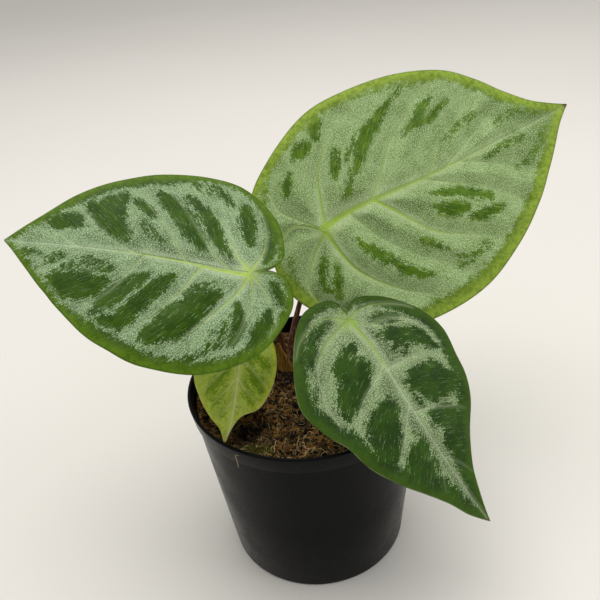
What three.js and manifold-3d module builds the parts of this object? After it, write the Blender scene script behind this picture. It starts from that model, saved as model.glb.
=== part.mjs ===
// A young silver-veined anthurium in a round black nursery pot.
// Millimetres, +Z up. The origin is the middle of the pot's underside, where it stands.
import * as THREE from 'three';
import { mergeVertices } from 'three/addons/utils/BufferGeometryUtils.js';
import Module from 'manifold-3d';

// The gap left between pieces that touch on the real plant
const SEAT_GAP = 0.3;

// The pot: a moulded plastic shell with a flared lip and drain holes through its floor
const POT = {
  height: 75,
  rimRadius: 45,
  lipHeight: 7,
  lipFootRadius: 43.9,
  wallTopRadius: 43.2,
  baseRadius: 35.6,
  wall: 1.2,
  lipWall: 1.4,
  floor: 1.6,
  edgeRound: 0.8,
  drainHoles: 8,
  drainRadius: 3.2,
  drainCircle: 26,
  sides: 48,
};

// The potting mix: nearly level, with lumps, a hollow at the front left and a low mound at the moss
const SOIL = {
  level: 68.8,
  lump: 0.7,
  hollow: { x: -25, y: -19, radius: 13, depth: 3.2 },
  mound: { x: -20, y: -35, radius: 9, depth: -1.4 },
  rings: 8,
  sides: 40,
};

// The short stem: a crown at the surface of the mix, on a rootstock that stands in a plain hole in it
const STEM = {
  x: -6.5,
  y: 18.5,
  radius: 5.2,
  top: 75.5,
  bottom: 52,
  socketCircle: 2.9,
  socketDepth: 3.5,
  sides: 20,
};

// The dry sheath at the foot of the stalks: a thin scale round the front left of the crown
const SHEATH = {
  middle: -112,
  halfAngle: 42,
  footRadius: 6.1,
  topRadius: 6.9,
  height: 14,
  thickness: 0.7,
  steps: 8,
};

const BLADE_THICKNESS = 0.9;
const WAVES_PER_SIDE = 2.5;

// The blades. Each has a flat plan: x runs along the midrib from the stalk to the tip, y to the side.
// foot: where the stalk meets the blade. heading, pitch, roll: how the midrib leaves it, in degrees.
// droop, lobeDroop: how far the blade bends down over one length, ahead of the stalk and behind it.
// fold, arch: the slope of each half beside the midrib, and what it gains out to the margin.
// quilt, wave: how high the blade rises between the veins, and how far its margin waves.
// grid: how many ribs follow each other from vein to vein, and the steps across from midrib to margin.
// pairs: where the side veins leave the midrib, two by two from the tip. The rest leave it at the stalk.
// left, right: each side vein's end on the margin, from the tip round to the sinus, as x and distance
// out, and how far the vein bows back towards the stalk, in degrees.
const BLADES = {
  left: {
    foot: [-15, -5.5, 124.5],
    heading: 179.5,
    pitch: 20,
    roll: -34,
    length: 84,
    droop: 20,
    lobeDroop: 40,
    fold: 3.5,
    arch: 11,
    quilt: 0.6,
    wave: 0.5,
    grid: { ribs: 3, across: 7 },
    tip: [84, 0],
    sinus: [-2, -1.2],
    pairs: [70, 53, 40, 33, 25, 15],
    left: [
      [78, 5.5, 8], [69.5, 14, 12], [65, 18, 14], [60, 22.5, 16], [50, 30, 16], [41.5, 34, 16],
      [29, 37.8, 18], [9, 37, 26], [-8.5, 26.5, 42], [-16.3, 10, 30], [-13.5, 0, 8], [-7.5, -2.6, 0],
    ],
    right: [
      [78.5, 6, 8], [71.5, 13.5, 12], [65, 21.3, 12], [57, 28.3, 14], [48.5, 32.9, 12], [37.5, 36.6, 12],
      [20, 38.9, 16], [6, 36.9, 30], [-6.5, 26, 34], [-11, 12, 26], [-8.2, 4.6, 6],
    ],
  },
  back: {
    foot: [14, 37, 117],
    heading: 11.5,
    pitch: 21,
    roll: 51.5,
    length: 118,
    droop: 20,
    lobeDroop: 20,
    fold: 1,
    arch: 6,
    quilt: 0.9,
    wave: 0.8,
    grid: { ribs: 3, across: 7 },
    tip: [119, 1],
    sinus: [-2, 2],
    pairs: [94, 74, 56.5, 41, 23.5, 12],
    left: [
      [110.5, 5, 6], [103.5, 9.5, 8], [95.5, 18, 10], [87.5, 28, 12], [76, 37.8, 16], [57, 45, 18],
      [36, 48.4, 20], [18, 48.5, 18], [1, 42.2, 14], [-16.5, 31, 18], [-23, 20, 14], [-15.5, 11.2, 4],
      [-6.5, 9.6, 0],
    ],
    right: [
      [110.5, 5, 8], [103, 12, 12], [94, 20.5, 14], [82, 31, 16], [67, 40.8, 20], [48, 49, 22],
      [28, 51, 25], [8, 48, 28], [-8, 38.5, 32], [-19, 26, 32], [-25, 12, 26], [-22.5, -2, 12],
      [-14, -7.6, 4], [-5.5, -6.6, 0],
    ],
  },
  front: {
    foot: [16.2, -15.6, 107.8],
    heading: -44,
    pitch: -42.5,
    roll: 12.5,
    length: 84.5,
    droop: 17,
    lobeDroop: 70,
    fold: 3.5,
    arch: 6,
    quilt: 0.6,
    wave: 0.5,
    grid: { ribs: 3, across: 7 },
    tip: [85, 2.8],
    sinus: [-1.5, 1],
    pairs: [74, 62, 49.5, 37.3, 28.5, 20],
    left: [
      [76.6, 4.4, 4], [66.3, 8.1, 8], [56.5, 15.1, 12], [48.6, 22.8, 14], [40.8, 26.9, 14],
      [32.9, 28.9, 12], [22.6, 31.5, 26], [12.3, 28.5, 24], [1.5, 19.4, 22], [-4.5, 9.8, 14],
      [-4.1, 4.3, 4],
    ],
    right: [
      [77.6, 3.1, 4], [69.2, 7.6, 8], [61.4, 12.9, 12], [53, 18.7, 14], [42.7, 23.9, 14],
      [33.4, 26.1, 14], [24.6, 29.9, 34], [12.8, 31.4, 28], [-1.5, 22.8, 26], [-10.8, 11.8, 24],
      [-10.1, 1.6, 10], [-5.3, -1.8, 0],
    ],
  },
  young: {
    foot: [-21.5, 3.5, 93],
    heading: -104,
    pitch: -26,
    roll: 0,
    length: 40,
    droop: 17,
    lobeDroop: 30,
    fold: 3,
    arch: 8,
    quilt: 0.35,
    wave: 0.3,
    grid: { ribs: 2, across: 6 },
    tip: [40.5, -0.8],
    sinus: [-1.2, 0],
    pairs: [33, 26, 17, 9],
    left: [
      [34.5, 1.3, 4], [30, 4.4, 8], [26.5, 10.4, 12], [18, 13.9, 16], [8.5, 14, 20], [0, 11, 26],
      [-5.5, 5.5, 24], [-4.3, 1.2, 6],
    ],
    right: [
      [35.4, 3, 4], [30.8, 7.6, 8], [25, 12.2, 12], [16.5, 16.6, 16], [7.5, 16.4, 20], [-1, 12.8, 26],
      [-6, 6, 24], [-4.6, 1.2, 6],
    ],
  },
};

// The stalks: the azimuth of each one's socket in the crown, the points that it goes through, and how far
// below its blade it turns up into it
const STALKS = {
  left: { socket: -110, through: [[-7.9, 15.2, 79], [-9.2, 12.4, 93], [-13.4, 3.6, 111]], turn: 5 },
  back: { socket: 60, through: [[-3.6, 23.3, 79], [0.2, 28, 89.5], [7, 37.5, 102.5]], turn: 5 },
  front: { socket: -25, through: [[-1.6, 16.5, 78.5], [4, 9.5, 90], [11, -2.5, 100]], turn: 4 },
  young: { socket: 168, through: [[-12, 19.2, 77], [-16.8, 15.2, 84.5]], turn: 4 },
};

// A stalk thins from its foot up, and thickens again just below the blade
const STALK = {
  footRadius: 1.5,
  middleRadius: 1.1,
  topRadius: 1.35,
  sides: 8,
  steps: 16,
};

const radians = THREE.MathUtils.degToRad;
const wasm = await Module();
wasm.setup();

// A geometry with its positions alone, shared corners merged and collapsed triangles dropped
function merged(geometry) {
  const bare = geometry.clone();
  bare.deleteAttribute('normal');
  bare.deleteAttribute('uv');
  const shared = mergeVertices(bare, 1e-3);
  const corners = shared.index.array;
  const kept = [];
  for (let i = 0; i < corners.length; i += 3) {
    const [a, b, c] = [corners[i], corners[i + 1], corners[i + 2]];
    if (a !== b && b !== c && c !== a) kept.push(a, b, c);
  }
  shared.setIndex(kept);
  return shared;
}

function solid(geometry) {
  const shared = merged(geometry);
  return new wasm.Manifold(new wasm.Mesh({
    numProp: 3,
    vertProperties: new Float32Array(shared.attributes.position.array),
    triVerts: new Uint32Array(shared.index.array),
  }));
}

function fromSolid(body) {
  const mesh = body.getMesh();
  const geometry = new THREE.BufferGeometry();
  geometry.setAttribute('position', new THREE.BufferAttribute(mesh.vertProperties, 3));
  geometry.setIndex(new THREE.BufferAttribute(mesh.triVerts, 1));
  return geometry;
}

// A turned shape about a vertical axis through (x, y), from its outline of radius and height
function turned(outline, sides, x = 0, y = 0) {
  const geometry = new THREE.LatheGeometry(outline.map(([r, z]) => new THREE.Vector2(r, z)), sides);
  geometry.rotateX(Math.PI / 2);
  geometry.translate(x, y, 0);
  return geometry;
}

// A curved sheet made solid: both faces are split into triangles alike, and a band closes the edge
function thicken(sheet, thickness) {
  const middle = merged(sheet);
  middle.computeVertexNormals();
  const places = middle.attributes.position;
  const normals = middle.attributes.normal;
  const count = places.count;
  const points = [];
  for (const side of [1, -1]) {
    for (let i = 0; i < count; i += 1) {
      const point = new THREE.Vector3().fromBufferAttribute(places, i);
      const normal = new THREE.Vector3().fromBufferAttribute(normals, i);
      points.push(...point.addScaledVector(normal, (side * thickness) / 2));
    }
  }
  const faces = [];
  const edges = new Map();
  const corners = middle.index.array;
  for (let i = 0; i < corners.length; i += 3) {
    const triangle = [corners[i], corners[i + 1], corners[i + 2]];
    faces.push(...triangle);
    faces.push(count + triangle[2], count + triangle[1], count + triangle[0]);
    for (let k = 0; k < 3; k += 1) {
      const [a, b] = [triangle[k], triangle[(k + 1) % 3]];
      if (!edges.delete(`${b} ${a}`)) edges.set(`${a} ${b}`, [a, b]);
    }
  }
  for (const [a, b] of edges.values()) {
    faces.push(a, count + a, b, b, count + a, count + b);
  }
  const geometry = new THREE.BufferGeometry();
  geometry.setAttribute('position', new THREE.Float32BufferAttribute(points, 3));
  geometry.setIndex(faces);
  return geometry;
}

// The directions of a blade at its foot: along the midrib, to its left side, and out of its upper face
function bladeAxes(blade) {
  const turn = new THREE.Euler(radians(blade.roll), -radians(blade.pitch), radians(blade.heading), 'ZYX');
  return [[1, 0, 0], [0, 1, 0], [0, 0, 1]].map((unit) => new THREE.Vector3(...unit).applyEuler(turn));
}

// A point of the blade's plan, bent into its place: x along, y to the left, rise above the blade's face
function onBlade(blade, x, y, rise) {
  const [along, left, up] = bladeAxes(blade);
  const bend = radians(x >= 0 ? blade.droop : blade.lobeDroop) / blade.length;
  const lean = bend * x;
  const spread = radians(blade.arch) / (0.45 * blade.length);
  const fold = radians(blade.fold);
  const slope = fold + spread * Math.abs(y);
  const out = Math.sign(y) * ((Math.sin(slope) - Math.sin(fold)) / spread + rise * Math.sin(slope));
  const down = (Math.cos(fold) - Math.cos(slope)) / spread - rise * Math.cos(slope);
  return new THREE.Vector3(...blade.foot)
    .addScaledVector(along, Math.sin(lean) / bend - down * Math.sin(lean))
    .addScaledVector(up, (Math.cos(lean) - 1) / bend - down * Math.cos(lean))
    .addScaledVector(left, out);
}

// One half of a blade: a fan of ribs from the midrib and the foot out to the margin, each bowed like a vein
function bladeHalf(blade, side) {
  const [tipX, tipY] = blade.tip;
  const [sinusX, sinusY] = blade.sinus;
  const veins = side > 0 ? blade.left : blade.right;
  const ends = [[tipX, side * tipY], ...veins, [sinusX, side * sinusY]];
  const starts = [tipX, ...blade.pairs, ...veins.slice(blade.pairs.length).map(() => 0), 0];
  const bows = [0, ...veins.map(([, , bow]) => bow), 0];
  const margin = new THREE.SplineCurve(ends.map(([x, y]) => new THREE.Vector2(x, y)));
  const lines = new THREE.SplineCurve(starts.map((start, i) => new THREE.Vector2(start, bows[i])));
  const spans = ends.length - 1;
  const { ribs, across: steps } = blade.grid;
  const sheet = new THREE.PlaneGeometry(1, 1, steps, spans * ribs);
  const places = sheet.attributes.position;
  for (let i = 0; i < places.count; i += 1) {
    const across = side > 0 ? places.getX(i) + 0.5 : 0.5 - places.getX(i);
    const round = 0.5 - places.getY(i);
    const end = margin.getPoint(round);
    const line = lines.getPoint(round);
    const startX = Math.max(line.x, 0);
    const start = new THREE.Vector2(startX, side * tipY * (startX / tipX) ** 3);
    const bowed = end.clone().sub(start).multiplyScalar(0.5);
    bowed.rotateAround(new THREE.Vector2(), radians(line.y)).add(start);
    const point = new THREE.QuadraticBezierCurve(start, bowed, end).getPoint(across);
    const rise = blade.quilt * Math.sin(Math.PI * spans * round) ** 2 * Math.sin(Math.PI * across);
    const swing = Math.sin(2 * Math.PI * WAVES_PER_SIDE * round + side) * Math.sin(Math.PI * round);
    const placed = onBlade(blade, point.x, side * point.y, rise + blade.wave * swing * across ** 3);
    places.setXYZ(i, placed.x, placed.y, placed.z);
  }
  return sheet;
}

function joined(first, second) {
  const positions = [...first.attributes.position.array, ...second.attributes.position.array];
  const shift = first.attributes.position.count;
  const geometry = new THREE.BufferGeometry();
  geometry.setAttribute('position', new THREE.Float32BufferAttribute(positions, 3));
  geometry.setIndex([...first.index.array, ...[...second.index.array].map((corner) => corner + shift)]);
  return geometry;
}

function bladeGeometry(blade) {
  return thicken(joined(bladeHalf(blade, 1), bladeHalf(blade, -1)), BLADE_THICKNESS);
}

// A round stalk: a cylinder whose rings are carried onto a smooth curve. extra widens it to cut its socket.
function stalkGeometry(points, extra) {
  const knots = points.map((point) => new THREE.Vector3(...point));
  const curve = new THREE.CatmullRomCurve3(knots, false, 'centripetal');
  const { sides, steps, footRadius, middleRadius, topRadius } = STALK;
  const frames = curve.computeFrenetFrames(steps, false);
  const geometry = new THREE.CylinderGeometry(1, 1, 1, sides, steps);
  const places = geometry.attributes.position;
  for (let i = 0; i < places.count; i += 1) {
    const ring = Math.round((places.getY(i) + 0.5) * steps);
    const u = ring / steps;
    const radius = extra + middleRadius
      + (footRadius - middleRadius) * Math.max(0, 1 - 3 * u)
      + (topRadius - middleRadius) * Math.max(0, 6 * u - 5);
    const placed = curve.getPointAt(u)
      .addScaledVector(frames.normals[ring], places.getZ(i) * radius)
      .addScaledVector(frames.binormals[ring], places.getX(i) * radius);
    places.setXYZ(i, placed.x, placed.y, placed.z);
  }
  return geometry;
}

// The points of a stalk, from the bottom of its socket to its blade. sink deepens the socket.
function stalkPoints(name, sink) {
  const { socket, through, turn } = STALKS[name];
  const blade = BLADES[name];
  const up = bladeAxes(blade)[2];
  const foot = new THREE.Vector3(...blade.foot);
  const x = STEM.x + STEM.socketCircle * Math.cos(radians(socket));
  const y = STEM.y + STEM.socketCircle * Math.sin(radians(socket));
  const start = [x, y, STEM.top - STEM.socketDepth - sink];
  const below = foot.clone().addScaledVector(up, -turn);
  const seat = foot.clone().addScaledVector(up, -BLADE_THICKNESS / 2 - SEAT_GAP);
  return [start, ...through, [...below], [...seat]];
}

function potGeometry() {
  const { height, rimRadius, lipHeight, lipFootRadius, lipWall, wallTopRadius, baseRadius, wall } = POT;
  const { floor, edgeRound } = POT;
  const lipFoot = height - lipHeight;
  const shell = turned([
    [0, 0],
    [baseRadius - edgeRound, 0],
    [baseRadius, edgeRound],
    [wallTopRadius, lipFoot],
    [lipFootRadius, lipFoot + 0.3],
    [rimRadius, height - edgeRound],
    [rimRadius - 0.2, height - 0.2],
    [rimRadius - lipWall / 2, height],
    [rimRadius - lipWall, height - 0.2],
    [wallTopRadius - lipWall / 2, lipFoot],
    [baseRadius - wall + 0.4, floor + edgeRound],
    [baseRadius - wall - 0.4, floor],
    [0, floor],
  ], POT.sides);
  let pot = solid(shell);
  for (let i = 0; i < POT.drainHoles; i += 1) {
    const angle = (2 * Math.PI * i) / POT.drainHoles;
    const drill = new THREE.CylinderGeometry(POT.drainRadius, POT.drainRadius, 4 * floor, 16);
    drill.rotateX(Math.PI / 2);
    drill.translate(POT.drainCircle * Math.cos(angle), POT.drainCircle * Math.sin(angle), 0);
    pot = pot.subtract(solid(drill));
  }
  return fromSolid(pot);
}

// How far the surface of the mix stands above or below its level
function soilRelief(x, y) {
  const lumps = Math.sin(0.42 * x + 0.6) * Math.cos(0.37 * y - 0.4) + 0.6 * Math.sin(0.71 * x - 0.53 * y);
  const fromStem = Math.hypot(x - STEM.x, y - STEM.y);
  let height = SOIL.lump * lumps * THREE.MathUtils.smoothstep(fromStem, 8, 13);
  for (const { x: cx, y: cy, radius, depth } of [SOIL.hollow, SOIL.mound]) {
    height -= depth * THREE.MathUtils.smoothstep(radius - Math.hypot(x - cx, y - cy), 0, radius);
  }
  return height;
}

function soilGeometry() {
  const flare = (POT.wallTopRadius - POT.baseRadius) / (POT.height - POT.lipHeight);
  const footRadius = POT.baseRadius - POT.wall;
  const topRadius = footRadius + flare * SOIL.level;
  const bottom = POT.floor + SEAT_GAP;
  const outline = [[0, bottom], [footRadius - 1, bottom], [footRadius, bottom + 1.2]];
  for (let ring = SOIL.rings; ring >= 0; ring -= 1) {
    outline.push([(topRadius * ring) / SOIL.rings, SOIL.level]);
  }
  const shape = turned(outline, SOIL.sides);
  const places = shape.attributes.position;
  for (let i = 0; i < places.count; i += 1) {
    const [x, y, z] = [places.getX(i), places.getY(i), places.getZ(i)];
    if (z > SOIL.level - 1) places.setZ(i, z + soilRelief(x, y));
  }
  const hole = turned([
    [0, STEM.bottom - SEAT_GAP],
    [STEM.radius + SEAT_GAP, STEM.bottom - SEAT_GAP],
    [STEM.radius + SEAT_GAP, POT.height],
    [0, POT.height],
  ], STEM.sides, STEM.x, STEM.y);
  return fromSolid(solid(shape).subtract(solid(hole)));
}

function stemGeometry() {
  const { radius, top, bottom } = STEM;
  const shape = turned([
    [0, bottom],
    [radius - 1.5, bottom],
    [radius, bottom + 1.5],
    [radius, top - 2.4],
    [radius * 0.85, top - 0.9],
    [radius * 0.5, top - 0.2],
    [0, top],
  ], STEM.sides, STEM.x, STEM.y);
  let stem = solid(shape);
  for (const name of Object.keys(STALKS)) {
    stem = stem.subtract(solid(stalkGeometry(stalkPoints(name, SEAT_GAP), SEAT_GAP)));
  }
  return fromSolid(stem);
}

function sheathGeometry() {
  const { middle, halfAngle, footRadius, topRadius, height, thickness, steps } = SHEATH;
  const sheet = new THREE.PlaneGeometry(1, 1, steps, steps / 2);
  const places = sheet.attributes.position;
  for (let i = 0; i < places.count; i += 1) {
    const side = 2 * places.getX(i);
    const up = places.getY(i) + 0.5;
    const angle = radians(middle + halfAngle * side * (1 - 0.75 * up * up));
    const radius = THREE.MathUtils.lerp(footRadius, topRadius, up * up);
    const z = SOIL.level + SEAT_GAP + 0.1 + height * up * (1 - 0.25 * side * side);
    places.setXYZ(i, STEM.x + radius * Math.cos(angle), STEM.y + radius * Math.sin(angle), z);
  }
  return thicken(sheet, thickness);
}

const FINISHES = {
  pot: { color: 0x17191c, roughness: 0.42 },
  soil: { color: 0x4a3322, roughness: 0.95 },
  stem: { color: 0x6f4a24, roughness: 0.7 },
  sheath: { color: 0x8a6a2c, roughness: 0.7 },
  stalk: { color: 0x74442c, roughness: 0.5 },
  left: { color: 0x5d8a4a, roughness: 0.42 },
  back: { color: 0xa3bd8a, roughness: 0.5 },
  front: { color: 0x52803f, roughness: 0.4 },
  young: { color: 0x8ca540, roughness: 0.45 },
};

const plant = new THREE.Group();

function addPiece(name, geometry, finish) {
  const material = new THREE.MeshStandardMaterial({ ...FINISHES[finish], metalness: 0 });
  const piece = new THREE.Mesh(geometry, material);
  piece.name = name;
  plant.add(piece);
}

addPiece('pot', potGeometry(), 'pot');
addPiece('soil', soilGeometry(), 'soil');
addPiece('stem', stemGeometry(), 'stem');
addPiece('sheath', sheathGeometry(), 'sheath');
for (const name of Object.keys(BLADES)) {
  addPiece(`petiole_${name}`, stalkGeometry(stalkPoints(name, 0), 0), 'stalk');
  addPiece(`leaf_${name}`, bladeGeometry(BLADES[name]), name);
}

export default plant;
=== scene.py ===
import math

import bpy
import numpy as np
from mathutils import Euler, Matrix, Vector, noise


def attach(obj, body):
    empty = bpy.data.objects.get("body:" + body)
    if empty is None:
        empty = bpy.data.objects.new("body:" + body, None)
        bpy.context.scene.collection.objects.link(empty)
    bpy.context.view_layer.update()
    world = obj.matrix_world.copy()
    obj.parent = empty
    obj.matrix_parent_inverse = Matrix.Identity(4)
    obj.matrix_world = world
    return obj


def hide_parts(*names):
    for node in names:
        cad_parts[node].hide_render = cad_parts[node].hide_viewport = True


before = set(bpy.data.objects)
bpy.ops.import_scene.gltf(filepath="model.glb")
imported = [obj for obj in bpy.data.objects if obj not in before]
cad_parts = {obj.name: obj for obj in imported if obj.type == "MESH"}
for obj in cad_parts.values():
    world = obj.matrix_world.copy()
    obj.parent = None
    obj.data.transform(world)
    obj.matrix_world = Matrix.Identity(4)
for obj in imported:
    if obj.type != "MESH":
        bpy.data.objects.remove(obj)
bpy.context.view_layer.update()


# ------------------------------------------------------------
# The pot. One shell of black plastic, moulded in one shot: a tapered round wall under a short
# flared lip, and a flat floor with drain holes. It stands loose, and everything else is in it.
# ------------------------------------------------------------
MM = 0.001
# The shell's outline as radius and height, up the outside, over the lip and down the inside
POT_OUTLINE = [
    (33.6, 0), (34.9, 0.05), (35.45, 0.35), (35.7, 1.0), (39.2, 32), (43.1, 67.2), (43.25, 68.0),
    (43.9, 68.25), (44.05, 68.6), (44.85, 73.9), (44.95, 74.4), (44.85, 74.75), (44.6, 74.93),
    (44.3, 75.0), (44.0, 74.93), (43.75, 74.7), (43.6, 74.2), (42.55, 68.2), (42.4, 67.0),
    (38.2, 32), (34.8, 2.6), (34.5, 1.9), (33.8, 1.6),
]
POT_SIDES = 128
DRAIN_HOLES, DRAIN_RADIUS, DRAIN_CIRCLE, DRAIN_SIDES = 8, 3.2, 26, 28


def drop_selection():
    if bpy.context.object and bpy.context.object.mode != "OBJECT":
        bpy.ops.object.mode_set(mode="OBJECT")
    bpy.ops.object.select_all(action="DESELECT")


def only(piece):
    drop_selection()
    piece.select_set(True)
    bpy.context.view_layer.objects.active = piece


def edit_all():
    bpy.ops.object.mode_set(mode="EDIT")
    bpy.ops.mesh.select_all(action="SELECT")


def faces_out():
    """Turns all faces of the piece that is being edited outwards, and ends the editing."""
    bpy.ops.mesh.select_all(action="SELECT")
    bpy.ops.mesh.normals_make_consistent(inside=False)
    bpy.ops.object.mode_set(mode="OBJECT")


def joined(pieces):
    drop_selection()
    for piece in pieces:
        piece.select_set(True)
    bpy.context.view_layer.objects.active = pieces[0]
    bpy.ops.object.join()
    return bpy.context.object


def finished(piece, name, finishes, nodes=()):
    """Names a piece, gives it its finishes, and sets it on the one body of plant and pot."""
    piece.name = name
    piece.data.name = name
    for finish in finishes:
        piece.data.materials.append(finish)
    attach(piece, "root")
    if nodes:
        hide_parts(*nodes)


def tint(red, green, blue):
    """A colour as shown on a screen, turned into the linear light that the shader wants."""
    parts = [c / 255 for c in (red, green, blue)]
    return tuple(c / 12.92 if c < 0.04045 else ((c + 0.055) / 1.055) ** 2.4 for c in parts) + (1,)


def new_finish(name, roughness, gloss):
    """Starts a finish. The calls below add to the one that was started last."""
    global the_finish, the_surface
    the_finish = bpy.data.materials.new(name)
    the_finish.use_nodes = True
    the_surface = the_finish.node_tree.nodes["Principled BSDF"]
    the_surface.inputs["Roughness"].default_value = roughness
    the_surface.inputs["Specular IOR Level"].default_value = gloss


def put(kind, inputs=None, **settings):
    node = the_finish.node_tree.nodes.new("ShaderNode" + kind)
    for key, value in settings.items():
        setattr(node, key, value)
    for key, value in (inputs or {}).items():
        join_or_set(node.inputs[key], value)
    return node


def join_or_set(socket, value):
    if isinstance(value, bpy.types.NodeSocket):
        the_finish.node_tree.links.new(value, socket)
    else:
        socket.default_value = value


def on_piece():
    return put("TexCoord").outputs["Object"]


def field(label, output="Fac"):
    """The values that a mesh holds for its corners under this label."""
    return put("Attribute", attribute_name=label).outputs[output]


def stretched(place, scale):
    return put("Mapping", {"Vector": place, "Scale": scale}).outputs["Vector"]


def grains(place, size, detail=2.0, rough=0.5, flat=False, warp=0.0):
    """Noise whose blotches are about `size` across, in the units of `place`."""
    node = put("TexNoise", {"Scale": 1 / size, "Detail": detail, "Roughness": rough,
                            "Distortion": warp, "Vector": place})
    if flat:
        node.noise_dimensions = "2D"
    return node.outputs["Fac"]


def ease(value, low, high, start=0.0, end=1.0):
    node = put("MapRange", {"Value": value, "From Min": low, "From Max": high,
                            "To Min": start, "To Max": end})
    node.interpolation_type = "SMOOTHSTEP"
    return node.outputs["Result"]


def calc(operation, first, second):
    return put("Math", {0: first, 1: second}, operation=operation).outputs[0]


def plus(first, second):
    return calc("ADD", first, second)


def times(first, second):
    return calc("MULTIPLY", first, second)


def blend(amount, first, second):
    """Goes from one colour to another. Three numbers are a colour as read off a screen."""
    first, second = [tint(*c) if isinstance(c, tuple) else c for c in (first, second)]
    return put("Mix", {0: amount, 6: first, 7: second}, data_type="RGBA").outputs[2]


def coated(color, height, depth, strength):
    """Gives the finish its colour and its fine relief."""
    join_or_set(the_surface.inputs["Base Color"], color)
    bump = put("Bump", {"Height": height, "Distance": depth, "Strength": strength})
    join_or_set(the_surface.inputs["Normal"], bump.outputs["Normal"])
    return the_finish


def turned_shell(outline, sides):
    """A shell turned about the pot's axis: a disc extruded and resized ring by ring."""
    drop_selection()
    bpy.ops.mesh.primitive_circle_add(vertices=sides, radius=outline[0][0] * MM, fill_type="NGON")
    shell = bpy.context.object
    edit_all()
    for (inner, low), (outer, high) in zip(outline, outline[1:]):
        rise = (0, 0, (high - low) * MM)
        bpy.ops.mesh.extrude_region_move(TRANSFORM_OT_translate={"value": rise})
        bpy.ops.transform.resize(value=(outer / inner, outer / inner, 1),
                                 center_override=(0, 0, high * MM))
    faces_out()
    return shell


def drain_drills():
    drop_selection()
    drills = []
    for i in range(DRAIN_HOLES):
        turn = 2 * math.pi * i / DRAIN_HOLES
        bpy.ops.mesh.primitive_cylinder_add(
            vertices=DRAIN_SIDES, radius=DRAIN_RADIUS * MM, depth=8 * MM,
            location=(DRAIN_CIRCLE * math.cos(turn) * MM, DRAIN_CIRCLE * math.sin(turn) * MM, 0))
        drills.append(bpy.context.object)
    drills = joined(drills)
    bpy.ops.object.transform_apply(location=True, rotation=True, scale=True)
    return drills


pot = turned_shell(POT_OUTLINE, POT_SIDES)
drills = drain_drills()
only(pot)
cut = pot.modifiers.new("drain holes", "BOOLEAN")
cut.operation, cut.object, cut.solver = "DIFFERENCE", drills, "EXACT"
bpy.ops.object.modifier_apply(modifier=cut.name)
bpy.data.objects.remove(drills)
bpy.ops.object.shade_smooth_by_angle(angle=math.radians(40))

new_finish("pot_black", 0.3, 0.06)
on_pot = on_piece()
pot_dust = ease(grains(on_pot, 0.0016, 4, 0.7), 0.60, 0.74)
pot_color = blend(grains(on_pot, 0.03, 3), (4, 5, 6), (8, 9, 11))
pot_color = blend(times(pot_dust, 0.1), pot_color, (92, 88, 80))
pot_rough = ease(grains(on_pot, 0.012, 4, 0.6), 0.3, 0.7, 0.2, 0.34)
join_or_set(the_surface.inputs["Roughness"], pot_rough)
pot_black = coated(pot_color, grains(on_pot, 0.0005, 2), 0.00006, 0.5)
finished(pot, "nursery_pot", [pot_black], ["pot"])


# ------------------------------------------------------------
# The potting mix. Moist brown coir and peat, filled in loose to some 6 mm below the rim: a crumbly
# top with a hollow at the front left, strands of coir, crumbs of bark, and moss by the rim; shade
# is painted dark onto the mix in the hollow and under the leaves.
# ------------------------------------------------------------
MIX_LEVEL, MIX_RADIUS, MIX_LUMP = 68.8, 42.25, 0.7
MIX_GRID, MIX_GRID_HALF = 176, 43.4
# Both as x, y, radius and depth
HOLLOW, MOSS_MOUND = (-25, -19, 13, 3.2), (-20, -35, 9, -1.4)
# Spots of painted shade on the mix, in the hollow and under the leaves: x, y and radius
SHADED = [(-21.5, -19.5, 11), (-5, 9.5, 11), (-33, 8, 8)]
STEM_X, STEM_Y, STEM_CLEAR = -6.5, 18.5, 6.5
STRAND_COUNT, STRAND_STEPS, CRUMB_COUNT, SHOOT_COUNT = 1500, 6, 420, 900
# How far from the pot's axis strands start and end, crumbs lie and moss grows
START_REACH, STRAND_REACH, CRUMB_REACH, MOSS_REACH = 40, 41.6, 40.5, 41.2
draws = np.random.default_rng(11)


def step_up(value, low, high):
    share = min(1.0, max(0.0, (value - low) / (high - low)))
    return share * share * (3 - 2 * share)


def mix_height(x, y):
    """The height of the mix at x, y: the low lumps of the solid, without the crumbs."""
    lumps = (math.sin(0.42 * x + 0.6) * math.cos(0.37 * y - 0.4)
             + 0.6 * math.sin(0.71 * x - 0.53 * y))
    height = MIX_LUMP * lumps * step_up(math.hypot(x - STEM_X, y - STEM_Y), 8, 13)
    for cx, cy, radius, depth in (HOLLOW, MOSS_MOUND):
        height -= depth * step_up(radius - math.hypot(x - cx, y - cy), 0, radius)
    return MIX_LEVEL + height


def in_shade(x, y, spots):
    """1 in the middle of a spot of painted shade on the mix, and 0 outside them all."""
    return max(step_up(radius - math.hypot(x - cx, y - cy), 0, radius * 0.8)
               for cx, cy, radius in spots)


def crumbs_height(x, y):
    """What the crumbs add to the height of the mix: lumps 3 mm across, and finer ones on them."""
    coarse = noise.fractal(Vector((x / 4.2, y / 4.2, 3.1)), 0.8, 2.1, 3)
    ridged = 0.5 - abs(noise.noise(Vector((x / 2.1, y / 2.1, 9.4))))
    fine = noise.noise(Vector((x / 0.9, y / 0.9, 5.5)))
    edge = 1 - step_up(math.hypot(x, y), 39.5, 42.2)
    crumbled = (1.5 * coarse + 1.3 * ridged - 0.5 + 0.5 * fine) * (0.35 + 0.65 * edge)
    return crumbled - 2.4 * in_shade(x, y, SHADED[:1])


def ground(x, y):
    return mix_height(x, y) + crumbs_height(x, y)


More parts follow.
